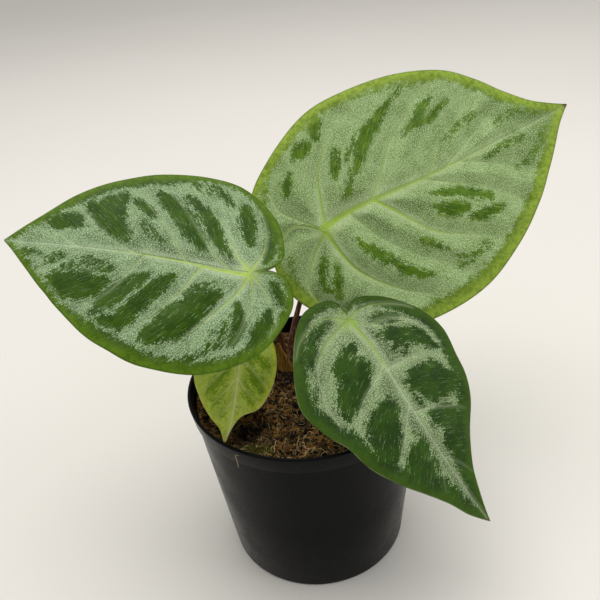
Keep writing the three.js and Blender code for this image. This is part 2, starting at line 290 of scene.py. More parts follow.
drop_selection()
bpy.ops.mesh.primitive_grid_add(x_subdivisions=MIX_GRID, y_subdivisions=MIX_GRID,
                                size=2 * MIX_GRID_HALF * MM)
mix = bpy.context.object
bpy.ops.object.mode_set(mode="EDIT")
bpy.ops.mesh.select_all(action="DESELECT")
bpy.ops.object.mode_set(mode="OBJECT")
for corner in mix.data.vertices:
    corner.select = math.hypot(corner.co.x, corner.co.y) > MIX_RADIUS * MM
bpy.ops.object.mode_set(mode="EDIT")
bpy.ops.mesh.delete(type="VERT")
bpy.ops.object.mode_set(mode="OBJECT")
for corner in mix.data.vertices:
    x, y = corner.co.x / MM, corner.co.y / MM
    reach = math.hypot(x, y)
    if reach > MIX_RADIUS - 0.75:
        x, y = x * MIX_RADIUS / reach, y * MIX_RADIUS / reach
    corner.co = (x * MM, y * MM, ground(x, y) * MM)
# How deep each corner of the mix lies in the painted shade
painted_shade = [in_shade(corner.co.x / MM, corner.co.y / MM, SHADED) for corner in mix.data.vertices]
mix.data.attributes.new("painted_shade", "FLOAT", "POINT").data.foreach_set("value", painted_shade)
bpy.ops.object.mode_set(mode="EDIT")
bpy.ops.mesh.select_mode(type="EDGE")
bpy.ops.mesh.select_all(action="SELECT")
bpy.ops.mesh.region_to_loop()
# From the edge of the top down beside the pot's wall to its floor: radii and height
for before, radius, height in ((MIX_RADIUS, 34.3, 3.1), (34.3, 33.2, 1.95)):
    bpy.ops.mesh.extrude_region_move(TRANSFORM_OT_translate={"value": (0, 0, -1 * MM)})
    bpy.ops.transform.resize(value=(radius / before, radius / before, 0),
                             center_override=(0, 0, height * MM))
bpy.ops.mesh.edge_face_add()
faces_out()
bpy.ops.object.shade_smooth_by_angle(angle=math.radians(60))

new_finish("moist_peat", 0.85, 0.25)
on_mix = on_piece()
peat_spots = grains(on_mix, 0.0035, 5, 0.62, warp=0.6)
peat_fine = grains(on_mix, 0.0007, 4, 0.7)
peat_color = blend(ease(peat_spots, 0.40, 0.62), (30, 19, 8), (158, 112, 48))
peat_color = blend(ease(peat_fine, 0.54, 0.66), peat_color, (222, 184, 112))
peat_color = blend(ease(grains(on_mix, 0.0016, 3, 0.6), 0.56, 0.42), peat_color, (9, 7, 5))
# Painted shade: the mix darkened almost to black in the hollow and under the leaves
peat_color = blend(ease(field("painted_shade"), 0, 1, 0, 0.95), peat_color, (6, 5, 4))
peat = coated(peat_color, plus(peat_fine, peat_spots), 0.0006, 0.9)
finished(mix, "potting_mix", [peat], ["soil"])


def fused(name, bits):
    """One mesh of many small copies, with a tone for each copy that its finish reads."""
    corners, faces, tones = bits
    mesh = bpy.data.meshes.new(name)
    mesh.from_pydata([tuple(c) for c in corners], [], faces)
    mesh.attributes.new("tone", "FLOAT", "POINT").data.foreach_set("value", tones)
    mesh.validate()
    piece = bpy.data.objects.new(name, mesh)
    bpy.context.scene.collection.objects.link(piece)
    only(piece)
    edit_all()
    faces_out()
    bpy.ops.object.shade_smooth()
    return piece


def toned_finish(name, roughness, gloss, low, high, stain, spots, spread, relief, depth, strength):
    """For small copies: each has its own colour between two, with a stain in spots."""
    new_finish(name, roughness, gloss)
    tone, place = field("tone"), on_piece()
    color = blend(tone, low, high)
    color = blend(ease(grains(place, *spots), *spread), color, stain)
    return coated(color, grains(place, *relief), depth, strength)


def along_path(path):
    """A path's direction at each of its points."""
    ahead = np.gradient(path, axis=0)
    return ahead / np.linalg.norm(ahead, axis=1)[:, None]


def strand(bits, path, radii, sides, tone):
    """Adds a thin round strand along a path, closed at both ends."""
    corners, faces, tones = bits
    path = np.array(path, float)
    start = len(corners)
    ahead = along_path(path)
    across = np.cross(ahead, (0.31, 0.17, 0.93))
    across /= np.linalg.norm(across, axis=1)[:, None]
    over = np.cross(ahead, across)
    for i, centre in enumerate(path):
        for k in range(sides):
            turn = 2 * math.pi * k / sides
            out = math.cos(turn) * across[i] + math.sin(turn) * over[i]
            corners.append((centre + radii[i] * out) * MM)
    for i in range(len(path) - 1):
        for k in range(sides):
            a, b = start + i * sides + k, start + i * sides + (k + 1) % sides
            faces.append((a, b, b + sides, a + sides))
    for ring in (start, start + (len(path) - 1) * sides):
        faces.append(tuple(range(ring, ring + sides)))
    tones += [tone] * (len(path) * sides)


def between(t, low, high, first, second):
    """What lies at t, on the way from the first at low to the second at high."""
    return (high - t) / (high - low) * first + (t - low) / (high - low) * second


def smooth_path(points, count):
    """A curve through the points that doesn't overshoot where they lie close together."""
    points = [np.array(p, float) for p in points]
    points = [2 * points[0] - points[1]] + points + [2 * points[-1] - points[-2]]
    path = []
    for i in range(1, len(points) - 2):
        p0, p1, p2, p3 = points[i - 1:i + 3]
        t0 = 0.0
        t1 = t0 + max(np.linalg.norm(p1 - p0), 1e-6) ** 0.5
        t2 = t1 + max(np.linalg.norm(p2 - p1), 1e-6) ** 0.5
        t3 = t2 + max(np.linalg.norm(p3 - p2), 1e-6) ** 0.5
        for t in np.linspace(t1, t2, 24, endpoint=False):
            a1, a2 = between(t, t0, t1, p0, p1), between(t, t1, t2, p1, p2)
            b1 = between(t, t0, t2, a1, a2)
            b2 = between(t, t1, t3, a2, between(t, t2, t3, p2, p3))
            path.append(between(t, t1, t2, b1, b2))
    path = np.array(path + [points[-2]])
    lengths = np.concatenate([[0], np.cumsum(np.linalg.norm(np.diff(path, axis=0), axis=1))])
    return np.stack([np.interp(np.linspace(0, lengths[-1], count), lengths, path[:, k])
                     for k in range(3)], 1)


def mix_spot(reach):
    """A drawn spot on the mix, clear of the crown."""
    while True:
        radius, turn = reach * math.sqrt(draws.random()), 2 * math.pi * draws.random()
        x, y = radius * math.cos(turn), radius * math.sin(turn)
        if math.hypot(x - STEM_X, y - STEM_Y) > STEM_CLEAR:
            return x, y


bits = [], [], []
for _ in range(STRAND_COUNT):
    x, y = mix_spot(START_REACH)
    length, turn = 1.8 + 6 * draws.random() ** 2, draws.uniform(0, 2 * math.pi)
    curl, lift = draws.uniform(-0.3, 0.3), draws.uniform(0.2, 1.6)
    thick, paleness_with_shade = draws.uniform(0.06, 0.15), draws.random() ** 1.2
    # Strands that lie in the painted shade of the mix are painted dark too
    paleness_with_shade *= 1 - 0.85 * in_shade(x, y, SHADED)
    path, step = [], length / STRAND_STEPS
    for i in range(STRAND_STEPS + 1):
        height = ground(x, y) + lift * math.sin(math.pi * (i / STRAND_STEPS)) - 0.15
        path.append((x, y, height + draws.uniform(-0.12, 0.12)))
        turn += curl + draws.uniform(-0.3, 0.3)
        x, y = x + step * math.cos(turn), y + step * math.sin(turn)
        reach = math.hypot(x, y)
        if reach > STRAND_REACH:
            x, y = x * STRAND_REACH / reach, y * STRAND_REACH / reach
    radii = [thick * (1 - 0.55 * abs(i - 3) / 3) for i in range(STRAND_STEPS + 1)]
    strand(bits, path, radii, 4, paleness_with_shade)
# One hair root that has grown up out of the mix and over the lip
hair_root = smooth_path([(-22, -34, 70), (-24.4, -37.2, 72.4), (-25.4, -39.6, 75.2),
                         (-25, -41.8, 76), (-24.5, -43.8, 75.6), (-24.3, -44.7, 75.2),
                         (-24.2, -45.1, 74.5)], 24)
strand(bits, hair_root, [0.06] * 24, 5, 0.5)
coir_strands = fused("coir_strands", bits)
coir = toned_finish("coir_fibre", 0.75, 0.3, (74, 44, 18), (255, 224, 160), (52, 36, 18),
                    (0.0025, 3), (0.45, 0.7, 0, 0.5), (0.0003, 2), 0.0001, 0.6)
finished(coir_strands, "coir_strands", [coir])

# The crumbs: bits of bark and peat, one knobbly shape turned, stretched and sunk a little
drop_selection()
bpy.ops.mesh.primitive_uv_sphere_add(segments=8, ring_count=5, radius=1)
crumb = bpy.context.object
for corner in crumb.data.vertices:
    corner.co *= 1 + 0.33 * noise.noise(corner.co * 1.7)
crumb_corners = np.array([corner.co for corner in crumb.data.vertices])
crumb_faces = [tuple(face.vertices) for face in crumb.data.polygons]
bpy.data.objects.remove(crumb)
bits = corners, faces, tones = [], [], []
for _ in range(CRUMB_COUNT):
    x, y = mix_spot(CRUMB_REACH)
    size = draws.uniform(0.35, 1.0) if draws.random() < 0.9 else draws.uniform(1.1, 2.0)
    shape = np.array([size * draws.uniform(0.8, 1.5), size, size * draws.uniform(0.45, 0.9)])
    turn = np.array(Euler(draws.uniform(-0.5, 0.5, 3) + (0, 0, draws.uniform(0, 6.28))).to_matrix())
    height = ground(x, y) + 0.15 * size
    start = len(corners)
    corners += list(((crumb_corners * shape) @ turn.T + (x, y, height)) * MM)
    faces += [tuple(start + i for i in face) for face in crumb_faces]
    tones += [draws.random()] * len(crumb_corners)
bark_crumbs = fused("bark_crumbs", bits)
bark = toned_finish("bark_crumb", 0.85, 0.25, (24, 16, 9), (124, 88, 42), (66, 46, 22),
                    (0.0008, 4, 0.7), (0.4, 0.62), (0.0006, 4, 0.7), 0.0004, 0.9)
finished(bark_crumbs, "bark_crumbs", [bark])

# The moss: short green shoots, close together on the mound by the rim and a few beyond it
bits = [], [], []
for _ in range(SHOOT_COUNT):
    x = MOSS_MOUND[0] + draws.normal(0, 3.6)
    y = MOSS_MOUND[1] + 1.5 + draws.normal(0, 2.4)
    if math.hypot(x, y) > MOSS_REACH:
        continue
    foot = ground(x, y) - 0.1
    tall, lean, turn = draws.uniform(0.5, 1.3), draws.uniform(0, 0.7), draws.uniform(0, 6.28)
    path = [(x + lean * s * math.cos(turn), y + lean * s * math.sin(turn), foot + tall * s)
            for s in (0, 0.55, 1)]
    strand(bits, path, [0.16, 0.2, 0.05], 3, draws.random())
moss_shoots = fused("moss_shoots", bits)
moss = toned_finish("moss", 0.8, 0.3, (44, 56, 14), (120, 122, 40), (96, 78, 34),
                    (0.004, 2), (0.45, 0.65), (0.0003, 2), 0.0001, 0.6)
finished(moss_shoots, "moss_shoots", [moss])


# ------------------------------------------------------------
# The crown. The short stem of the plant, at the surface of the mix: brown and corky, ringed by the
# scars of old leaves, with the first thick roots running down into the mix from it.
# ------------------------------------------------------------
CROWN_RADIUS, CROWN_TOP, CROWN_FOOT = 5.0, 75.5, 60.0
# Each root: the azimuth it leaves the crown at, its height there, and how far out it goes down
ROOTS = [(-165, 72.5, 10), (-75, 71.5, 9), (-40, 72.8, 12), (5, 71.8, 9), (40, 73, 11),
         (110, 72.2, 10), (150, 71.4, 8)]
ROOT_STEPS, ROOT_DEPTH = 13, 66.5
FIBRE_COUNT = 150


def by_stem(reach, turn, height):
    """A point at a distance from the stem's axis."""
    return STEM_X + reach * math.cos(turn), STEM_Y + reach * math.sin(turn), height


drop_selection()
bpy.ops.mesh.primitive_uv_sphere_add(segments=72, ring_count=60, radius=1)
crown = bpy.context.object
for corner in crown.data.vertices:
    side, up = corner.co, corner.co.z
    share = 0.5 + math.asin(max(-1, min(1, up))) / math.pi
    height = CROWN_FOOT + (CROWN_TOP - CROWN_FOOT) * share
    shoulder = (1 - abs(up) ** 5) ** 0.5
    turn = math.atan2(side.y, side.x)
    radius = CROWN_RADIUS * shoulder * (1 + 0.05 * math.sin(height * 3.3 + 0.8 * math.sin(turn)))
    bark_place = Vector((3 * math.cos(turn), 3 * math.sin(turn), height / 2))
    radius *= 1 + 0.09 * noise.fractal(bark_place, 0.8, 2, 3)
    corner.co = [c * MM for c in by_stem(radius, turn, height)]
bits = [], [], []
for azimuth, height, out in ROOTS:
    turn = math.radians(azimuth)
    path = []
    for i in range(ROOT_STEPS + 1):
        share = i / ROOT_STEPS
        reach = CROWN_RADIUS * 0.75 + out * math.sin(share * math.pi / 2) * 0.8
        bend = turn + 0.25 * math.sin(2.4 * share + azimuth)
        path.append(by_stem(reach, bend, height - (height - ROOT_DEPTH) * share ** 1.7))
    radii = [1.05 - 0.35 * i / ROOT_STEPS + 0.06 * math.sin(2.1 * i) for i in range(ROOT_STEPS + 1)]
    strand(bits, path, radii, 12, 0.5)
for _ in range(FIBRE_COUNT):
    turn, foot = draws.uniform(0, 2 * math.pi), draws.uniform(68.5, 72)
    tall, sway = draws.uniform(1.5, 5.5), draws.uniform(-0.35, 0.35)
    path = []
    for i in range(6):
        share = i / 5
        reach = CROWN_RADIUS * (1.0 - 0.12 * share) + 0.25 + draws.uniform(0, 0.25)
        path.append(by_stem(reach, turn + sway * share, foot + tall * share))
    strand(bits, path, [0.2, 0.18, 0.16, 0.13, 0.1, 0.05], 4, draws.random())
crown_roots = fused("crown_roots", bits)

new_finish("corky_stem", 0.8, 0.3)
on_crown = on_piece()
cork_bands = grains(stretched(on_crown, (1, 1, 6)), 0.004, 4, 0.6)
cork_color = blend(ease(cork_bands, 0.38, 0.62), (48, 28, 16), (122, 82, 44))
cork_green = ease(grains(on_crown, 0.003, 2), 0.52, 0.68, 0, 0.45)
cork_color = blend(cork_green, cork_color, (96, 98, 40))
cork_height = plus(cork_bands, grains(on_crown, 0.0008, 3))
cork = coated(cork_color, cork_height, 0.0005, 0.9)
only(crown)
bpy.ops.object.shade_smooth()
finished(crown, "crown", [cork], ["stem"])

root_skin = toned_finish("root_skin", 0.75, 0.3, (64, 36, 20), (150, 104, 58), (58, 36, 20),
                         (0.0018, 4), (0.4, 0.62), (0.0005, 3), 0.0002, 0.7)
finished(crown_roots, "crown_roots", [root_skin])


# ------------------------------------------------------------
# The leaf stalks. One for each blade, round and firm, set in the crown: reddish brown at the foot,
# greener upwards, thinned along its length and thickened again just where it turns into the blade.
# ------------------------------------------------------------
STALK_FOOT, STALK_MIDDLE, STALK_TOP = 1.45, 1.05, 1.35
STALK_SIDES, STALK_STEPS = 20, 90
SOCKET_CIRCLE, SOCKET_FLOOR = 2.9, 72.0
# Each blade's foot, how it leaves the stalk there (heading, pitch, roll), the azimuth of the
# stalk's socket in the crown, the points on the stalk's way, and where it turns up to the blade
LEAF_SEATS = {
    "left": ((-15, -5.5, 124.5), (179.5, 20, -34), -110,
             [(-7.9, 15.2, 79), (-9.2, 12.4, 93), (-13.4, 3.6, 111)], 5),
    "back": ((14, 37, 117), (11.5, 21, 51.5), 60,
             [(-3.6, 23.3, 79), (0.2, 28, 89.5), (7, 37.5, 102.5)], 5),
    "front": ((16.2, -15.6, 107.8), (-44, -42.5, 12.5), -25,
              [(-1.6, 16.5, 78.5), (4, 9.5, 90), (11, -2.5, 100)], 4),
    "young": ((-21.5, 3.5, 93), (-104, -26, 0), 168,
              [(-12, 19.2, 77), (-16.8, 15.2, 84.5)], 4),
}


def leaf_axes(name):
    """Along the blade's midrib, to its left side, and out of its upper face, at its foot."""
    heading, pitch, roll = LEAF_SEATS[name][1]
    turns = [math.radians(turn) for turn in (roll, -pitch, heading)]
    turn = Euler(turns, "XYZ").to_matrix()
    return [np.array(turn.col[i]) for i in range(3)]


def leaf_stalk(name):
    """A grid rolled into a tube along the stalk's path, its seam merged and its ends closed."""
    foot, _, azimuth, through, turn_up = LEAF_SEATS[name]
    up = leaf_axes(name)[2]
    start = by_stem(SOCKET_CIRCLE, math.radians(azimuth), SOCKET_FLOOR)
    ends = [np.array(foot) - turn_up * up, np.array(foot) - 0.55 * up]
    path = smooth_path([start] + through + ends, STALK_STEPS + 1)
    ahead = along_path(path)
    across = [np.cross(ahead[0], (0, 1, 0))]
    for way in ahead[1:]:
        carried = across[-1] - way * np.dot(across[-1], way)
        across.append(carried / np.linalg.norm(carried))
    drop_selection()
    bpy.ops.mesh.primitive_grid_add(x_subdivisions=STALK_SIDES, y_subdivisions=STALK_STEPS, size=1)
    stalk = bpy.context.object
    shares = np.empty(len(stalk.data.vertices))
    for corner in stalk.data.vertices:
        ring = round((corner.co.y + 0.5) * STALK_STEPS)
        share = ring / STALK_STEPS
        turn = 2 * math.pi * (corner.co.x + 0.5)
        radius = (STALK_MIDDLE + (STALK_FOOT - STALK_MIDDLE) * max(0, 1 - 3 * share)
                  + (STALK_TOP - STALK_MIDDLE) * max(0, 6 * share - 5))
        radius *= 1 + 0.025 * math.sin(5 * turn) + 0.02 * math.sin(23 * share + turn)
        side = across[ring] * math.cos(turn) + np.cross(ahead[ring], across[ring]) * math.sin(turn)
        shares[corner.index] = share
        corner.co = (path[ring] + radius * side) * MM
    stalk.data.attributes.new("share", "FLOAT", "POINT").data.foreach_set("value", shares)
    edit_all()
    bpy.ops.mesh.remove_doubles(threshold=0.00001)
    bpy.ops.mesh.select_all(action="SELECT")
    bpy.ops.mesh.region_to_loop()
    bpy.ops.mesh.edge_face_add()
    faces_out()
    bpy.ops.object.shade_smooth_by_angle(angle=math.radians(50))
    return stalk


def stalk_finish(name, foot_color, middle_color, top_color):
    new_finish(name, 0.42, 0.45)
    share, place = field("share"), on_piece()
    streaks = grains(stretched(place, (1, 1, 0.12)), 0.0007, 3, 0.6)
    uneven = plus(share, ease(grains(place, 0.006, 3), 0.3, 0.7, -0.12, 0.12))
    color = blend(ease(uneven, 0.2, 0.6), foot_color, middle_color)
    color = blend(ease(uneven, 0.72, 0.97), color, top_color)
    color = blend(ease(streaks, 0.5, 0.7, 0, 0.35), color, (196, 176, 120))
    color = blend(ease(streaks, 0.45, 0.28, 0, 0.5), color, (52, 26, 16))
    return coated(color, streaks, 0.0002, 0.6)


red_stalk = stalk_finish("red_stalk", (84, 38, 26), (124, 68, 40), (138, 150, 70))
pale_stalk = stalk_finish("pale_stalk", (104, 60, 34), (128, 118, 56), (150, 168, 72))
for leaf_name in LEAF_SEATS:
    skin = pale_stalk if leaf_name == "young" else red_stalk
    finished(leaf_stalk(leaf_name), "stalk_" + leaf_name, [skin], ["petiole_" + leaf_name])


# ------------------------------------------------------------
# The dry sheath. The papery scale that wrapped the newest stalk, now yellow-brown and torn, still
# held by its foot round the front left of the crown.
# ------------------------------------------------------------
SHEATH_MIDDLE, SHEATH_HALF_ANGLE = -112, 42
SHEATH_FOOT_RADIUS, SHEATH_TOP_RADIUS, SHEATH_HEIGHT = 6.1, 6.9, 14
SHEATH_GRID, SHEATH_PAPER, SHEATH_SUNK = 60, 0.3, 1.2

drop_selection()
bpy.ops.mesh.primitive_grid_add(x_subdivisions=SHEATH_GRID, y_subdivisions=SHEATH_GRID, size=1)
sheath = bpy.context.object
for corner in sheath.data.vertices:
    side, up = 2 * corner.co.x, corner.co.y + 0.5
    torn = 0.10 * noise.noise(Vector((6 * side, 0.3, 2.2))) * step_up(up, 0.7, 1.0)
    turn = math.radians(SHEATH_MIDDLE + SHEATH_HALF_ANGLE * side * (1 - 0.75 * up * up))
    crumpled = noise.noise(Vector((2.1 * side, 3 * up, 7)))
    radius = (SHEATH_FOOT_RADIUS + (SHEATH_TOP_RADIUS - SHEATH_FOOT_RADIUS) * up * up
              + 0.12 * math.sin(9 * side + 2 * up) + 0.25 * crumpled)
    height = (SHEATH_HEIGHT + 1.5) * (up + torn) * (1 - 0.25 * side * side)
    height += MIX_LEVEL - SHEATH_SUNK
    corner.co = [c * MM for c in by_stem(radius, turn, height)]
only(sheath)
shell = sheath.modifiers.new("paper", "SOLIDIFY")
shell.thickness, shell.offset = SHEATH_PAPER * MM, 0
bpy.ops.object.modifier_apply(modifier=shell.name)
bpy.ops.object.shade_smooth_by_angle(angle=math.radians(50))

new_finish("dry_sheath", 0.6, 0.35)
on_sheath = on_piece()
paper_lines = grains(stretched(on_sheath, (1, 1, 0.08)), 0.0006, 4, 0.65)
paper_color = blend(ease(paper_lines, 0.35, 0.65), (150, 104, 42), (222, 178, 88))
paper_spots = ease(grains(on_sheath, 0.003, 3), 0.55, 0.72, 0, 0.6)
paper_color = blend(paper_spots, paper_color, (110, 62, 30))
dry_paper = coated(paper_color, paper_lines, 0.0003, 0.8)
finished(sheath, "dry_sheath", [dry_paper], ["sheath"])


# ------------------------------------------------------------
# The leaf blades. Thin, leathery and heart-shaped, each bent down from the top of its stalk. The
# side veins are sunk in the face, silver spreads from them, and green stays between and round it.
# ------------------------------------------------------------
BLADE_SHEET = 0.45
WAVES_PER_SIDE = 2.5
# Points along a whole margin, and for each point given of a panel's spine and of a vein
MARGIN_STEPS, SPINE_STEPS, VEIN_STEPS = 260, 6, 9
# Beyond this gap, in half widths and squared, a vein has no part in a blade's looks
VEIN_REACH = 400
# All places on a blade are x and y on its flat plan, in mm from its foot, with x along the midrib
# shape: length, droop, lobe droop, fold, arch, the quilting's height and the margin's wave
# grid: ribs from one side vein's end to the next, and steps from the midrib out to the margin
# tip, sinus, left, right: the outline, as in the solid but for the back blade's closer notch; each
# point of left and right is a side vein's end, with the degrees that the vein bows by
# pairs: where on the midrib the outer side veins start; the others start at the foot
# lap: how far the lobe on the left sinks below the other one there, where the two overlap
# band: the green along the margin, in mm, at each side vein's end from the tip round to the sinus
# panels: the green between the veins, as spines of x, y and half the width there
# flecked: the same, where the silver breaks the green up
# shaded: the same, where the silver is thin, and where shade from the quilting and from an
# overlapping lobe is painted in as a duller, greener face
# veins: a line of x, y, then half the width at its start and end, and the brightness there
BLADES = {}
BLADES["left"] = {
    "shape": (84, 20, 40, 3.5, 11, 0.8, 0.5), "grid": (18, 66),
    "tip": (84, 0), "sinus": (-2, -1.2), "pairs": (70, 53, 40, 33, 25, 15),
    "band": ([1.5, 2, 2.5, 2, 2, 4.5, 5.5, 5, 4.5, 3.5, 3.2, 2.5, 1.2, 0.4],
             [1.5, 2, 3.5, 4.5, 5, 4.5, 5.5, 3, 2.6, 3, 2.5, 1.5, 0.4]),
    "left": [
        (78, 5.5, 8), (69.5, 14, 12), (65, 18, 14), (60, 22.5, 16), (50, 30, 16), (41.5, 34, 16),
        (29, 37.8, 18), (9, 37, 26), (-8.5, 26.5, 42), (-16.3, 10, 30), (-13.5, 0, 8),
        (-7.5, -2.6, 0)
    ],
    "right": [
        (78.5, 6, 8), (71.5, 13.5, 12), (65, 21.3, 12), (57, 28.3, 14), (48.5, 32.9, 12),
        (37.5, 36.6, 12), (20, 38.9, 16), (6, 36.9, 30), (-6.5, 26, 34), (-11, 12, 26),
        (-8.2, 4.6, 6)
    ],
    "panels": [
        [(9, 9, 1.2), (15, 15, 4.4), (21, 21.5, 6), (29, 27.5, 3.4)],
        [(25, 6.5, 1.8), (29, 11, 2.7), (34, 17, 3.2), (39, 24, 3.2), (44, 25, 2.2)],
        [(33, 8, 1.8), (38, 11.5, 3), (42, 15.5, 3.8), (46, 19.5, 3), (48, 22.5, 1.6)],
        [(47, 12, 2.6), (51, 13.6, 4.6), (58, 14.2, 5), (63, 12.5, 3)],
        [(2.5, 12, 1.2), (1, 18, 2.7), (1.5, 25.5, 1.8)],
        [(-9, 12, 1.6), (-8, 17, 3), (-6, 22.5, 2.6), (-4, 26, 1.2)],
        [(-12.5, 8, 1.8), (-11, 5, 2.2), (-8.5, 2.2, 1.6)],
        [(10, 31, 0.8), (15, 34, 1.5), (20, 36, 1)],
        [(8, -5.5, 1.2), (12, -10, 2.4), (16, -17, 2.8), (21, -23, 2.2), (26, -27, 1.3)],
        [(17, -6, 1.5), (21, -11, 3.4), (25, -17, 4), (30, -22, 3.6), (35, -26.5, 2.2)],
        [(44, -6, 2.5), (49, -11, 5), (51, -17, 6), (48, -23, 2.5)],
        [(53, -14, 3.4), (58, -17.5, 2.6)], [(36, -16, 1.4), (39, -18.5, 2.4), (43, -22, 1.8)],
        [(59, -8.5, 1.5), (63, -10, 3.5), (68, -9, 3.5)],
        [(1.5, -12, 1.5), (3, -19, 3.1), (5, -27, 2.4)],
        [(-5, -6, 1.8), (-5.8, -12, 2.8), (-6, -18, 2.2)],
        [(-8, -15, 2), (-5, -23, 2.8), (-1, -29, 2)],
        [(10, -27, 0.8), (13, -31, 1.5), (18, -35, 1)], [(70, 4, 0.6), (75, 4, 1.6)]
    ],
    "flecked": [
        [(46, 7, 1.6), (53, 6.5, 3), (60, 8, 2.2)], [(63, 4, 1), (67, 6, 1.4)],
        [(5, 20, 1.3), (7, 25, 2.2), (9.5, 30, 1.3)],
        [(31, -6, 1.2), (35, -9, 2.2), (38, -12, 1.6)], [(19, -31, 1.3), (25, -34, 1.5)],
        [(11, 7, 1), (16, 10, 2), (20, 12, 1)], [(26, 19, 1), (31, 26, 1)]
    ],
    "shaded": [
        [(5, -3, 1.5), (18, -3, 2), (32, -3, 1.5)], [(30, -8, 2), (42, -3.5, 1.6), (56, -4, 1.2)]
    ],
    "veins": [
        ([(0, 0.9), (12, 1), (22, 0.4), (40, 0), (60, 0), (84, 0)], 0.75, 0.22, 1, 0.25),
        ([(0, 1), (3, 8), (8, 15), (12, 20), (18, 27), (24, 33)], 0.5, 0.2, 0.85, 0.1),
        ([(16, 1), (19, 6), (22, 12), (27, 18), (34, 26), (39, 30)], 0.42, 0.2, 0.7, 0.1),
        ([(36, 0.3), (40, 8), (44, 14), (50, 20), (55, 24)], 0.35, 0.18, 0.35, 0.1),
        ([(56, 0), (61, 5), (67, 9), (70, 11)], 0.3, 0.15, 0.25, 0.1),
        ([(0, 0.6), (-2, 6), (-2, 12), (0, 22), (4, 29)], 0.42, 0.2, 0.6, 0.15),
        ([(0, 0.4), (-5, 4), (-9, 9), (-12, 15), (-10, 21)], 0.42, 0.2, 0.5, 0.15),
        ([(0, 0), (5, -6), (9, -13), (12, -21), (15, -29)], 0.5, 0.2, 0.85, 0.15),
        ([(6, 0.5), (13, -5), (20, -14), (28, -24), (33, -29)], 0.38, 0.18, 0.4, 0.1),
        ([(21, 0.2), (24, -3), (32, -15), (38, -22), (44, -27)], 0.4, 0.18, 0.45, 0.1),
        ([(38, -0.2), (44, -2.5), (50, -6), (60, -15), (64, -18)], 0.36, 0.18, 0.35, 0.1),
        ([(58, -0.2), (65, -4), (73, -8)], 0.3, 0.15, 0.25, 0.1),
        ([(0, 0), (-3, -8), (-4, -15), (-3, -22), (0, -28), (6, -33)], 0.42, 0.18, 0.6, 0.15)
    ],
}
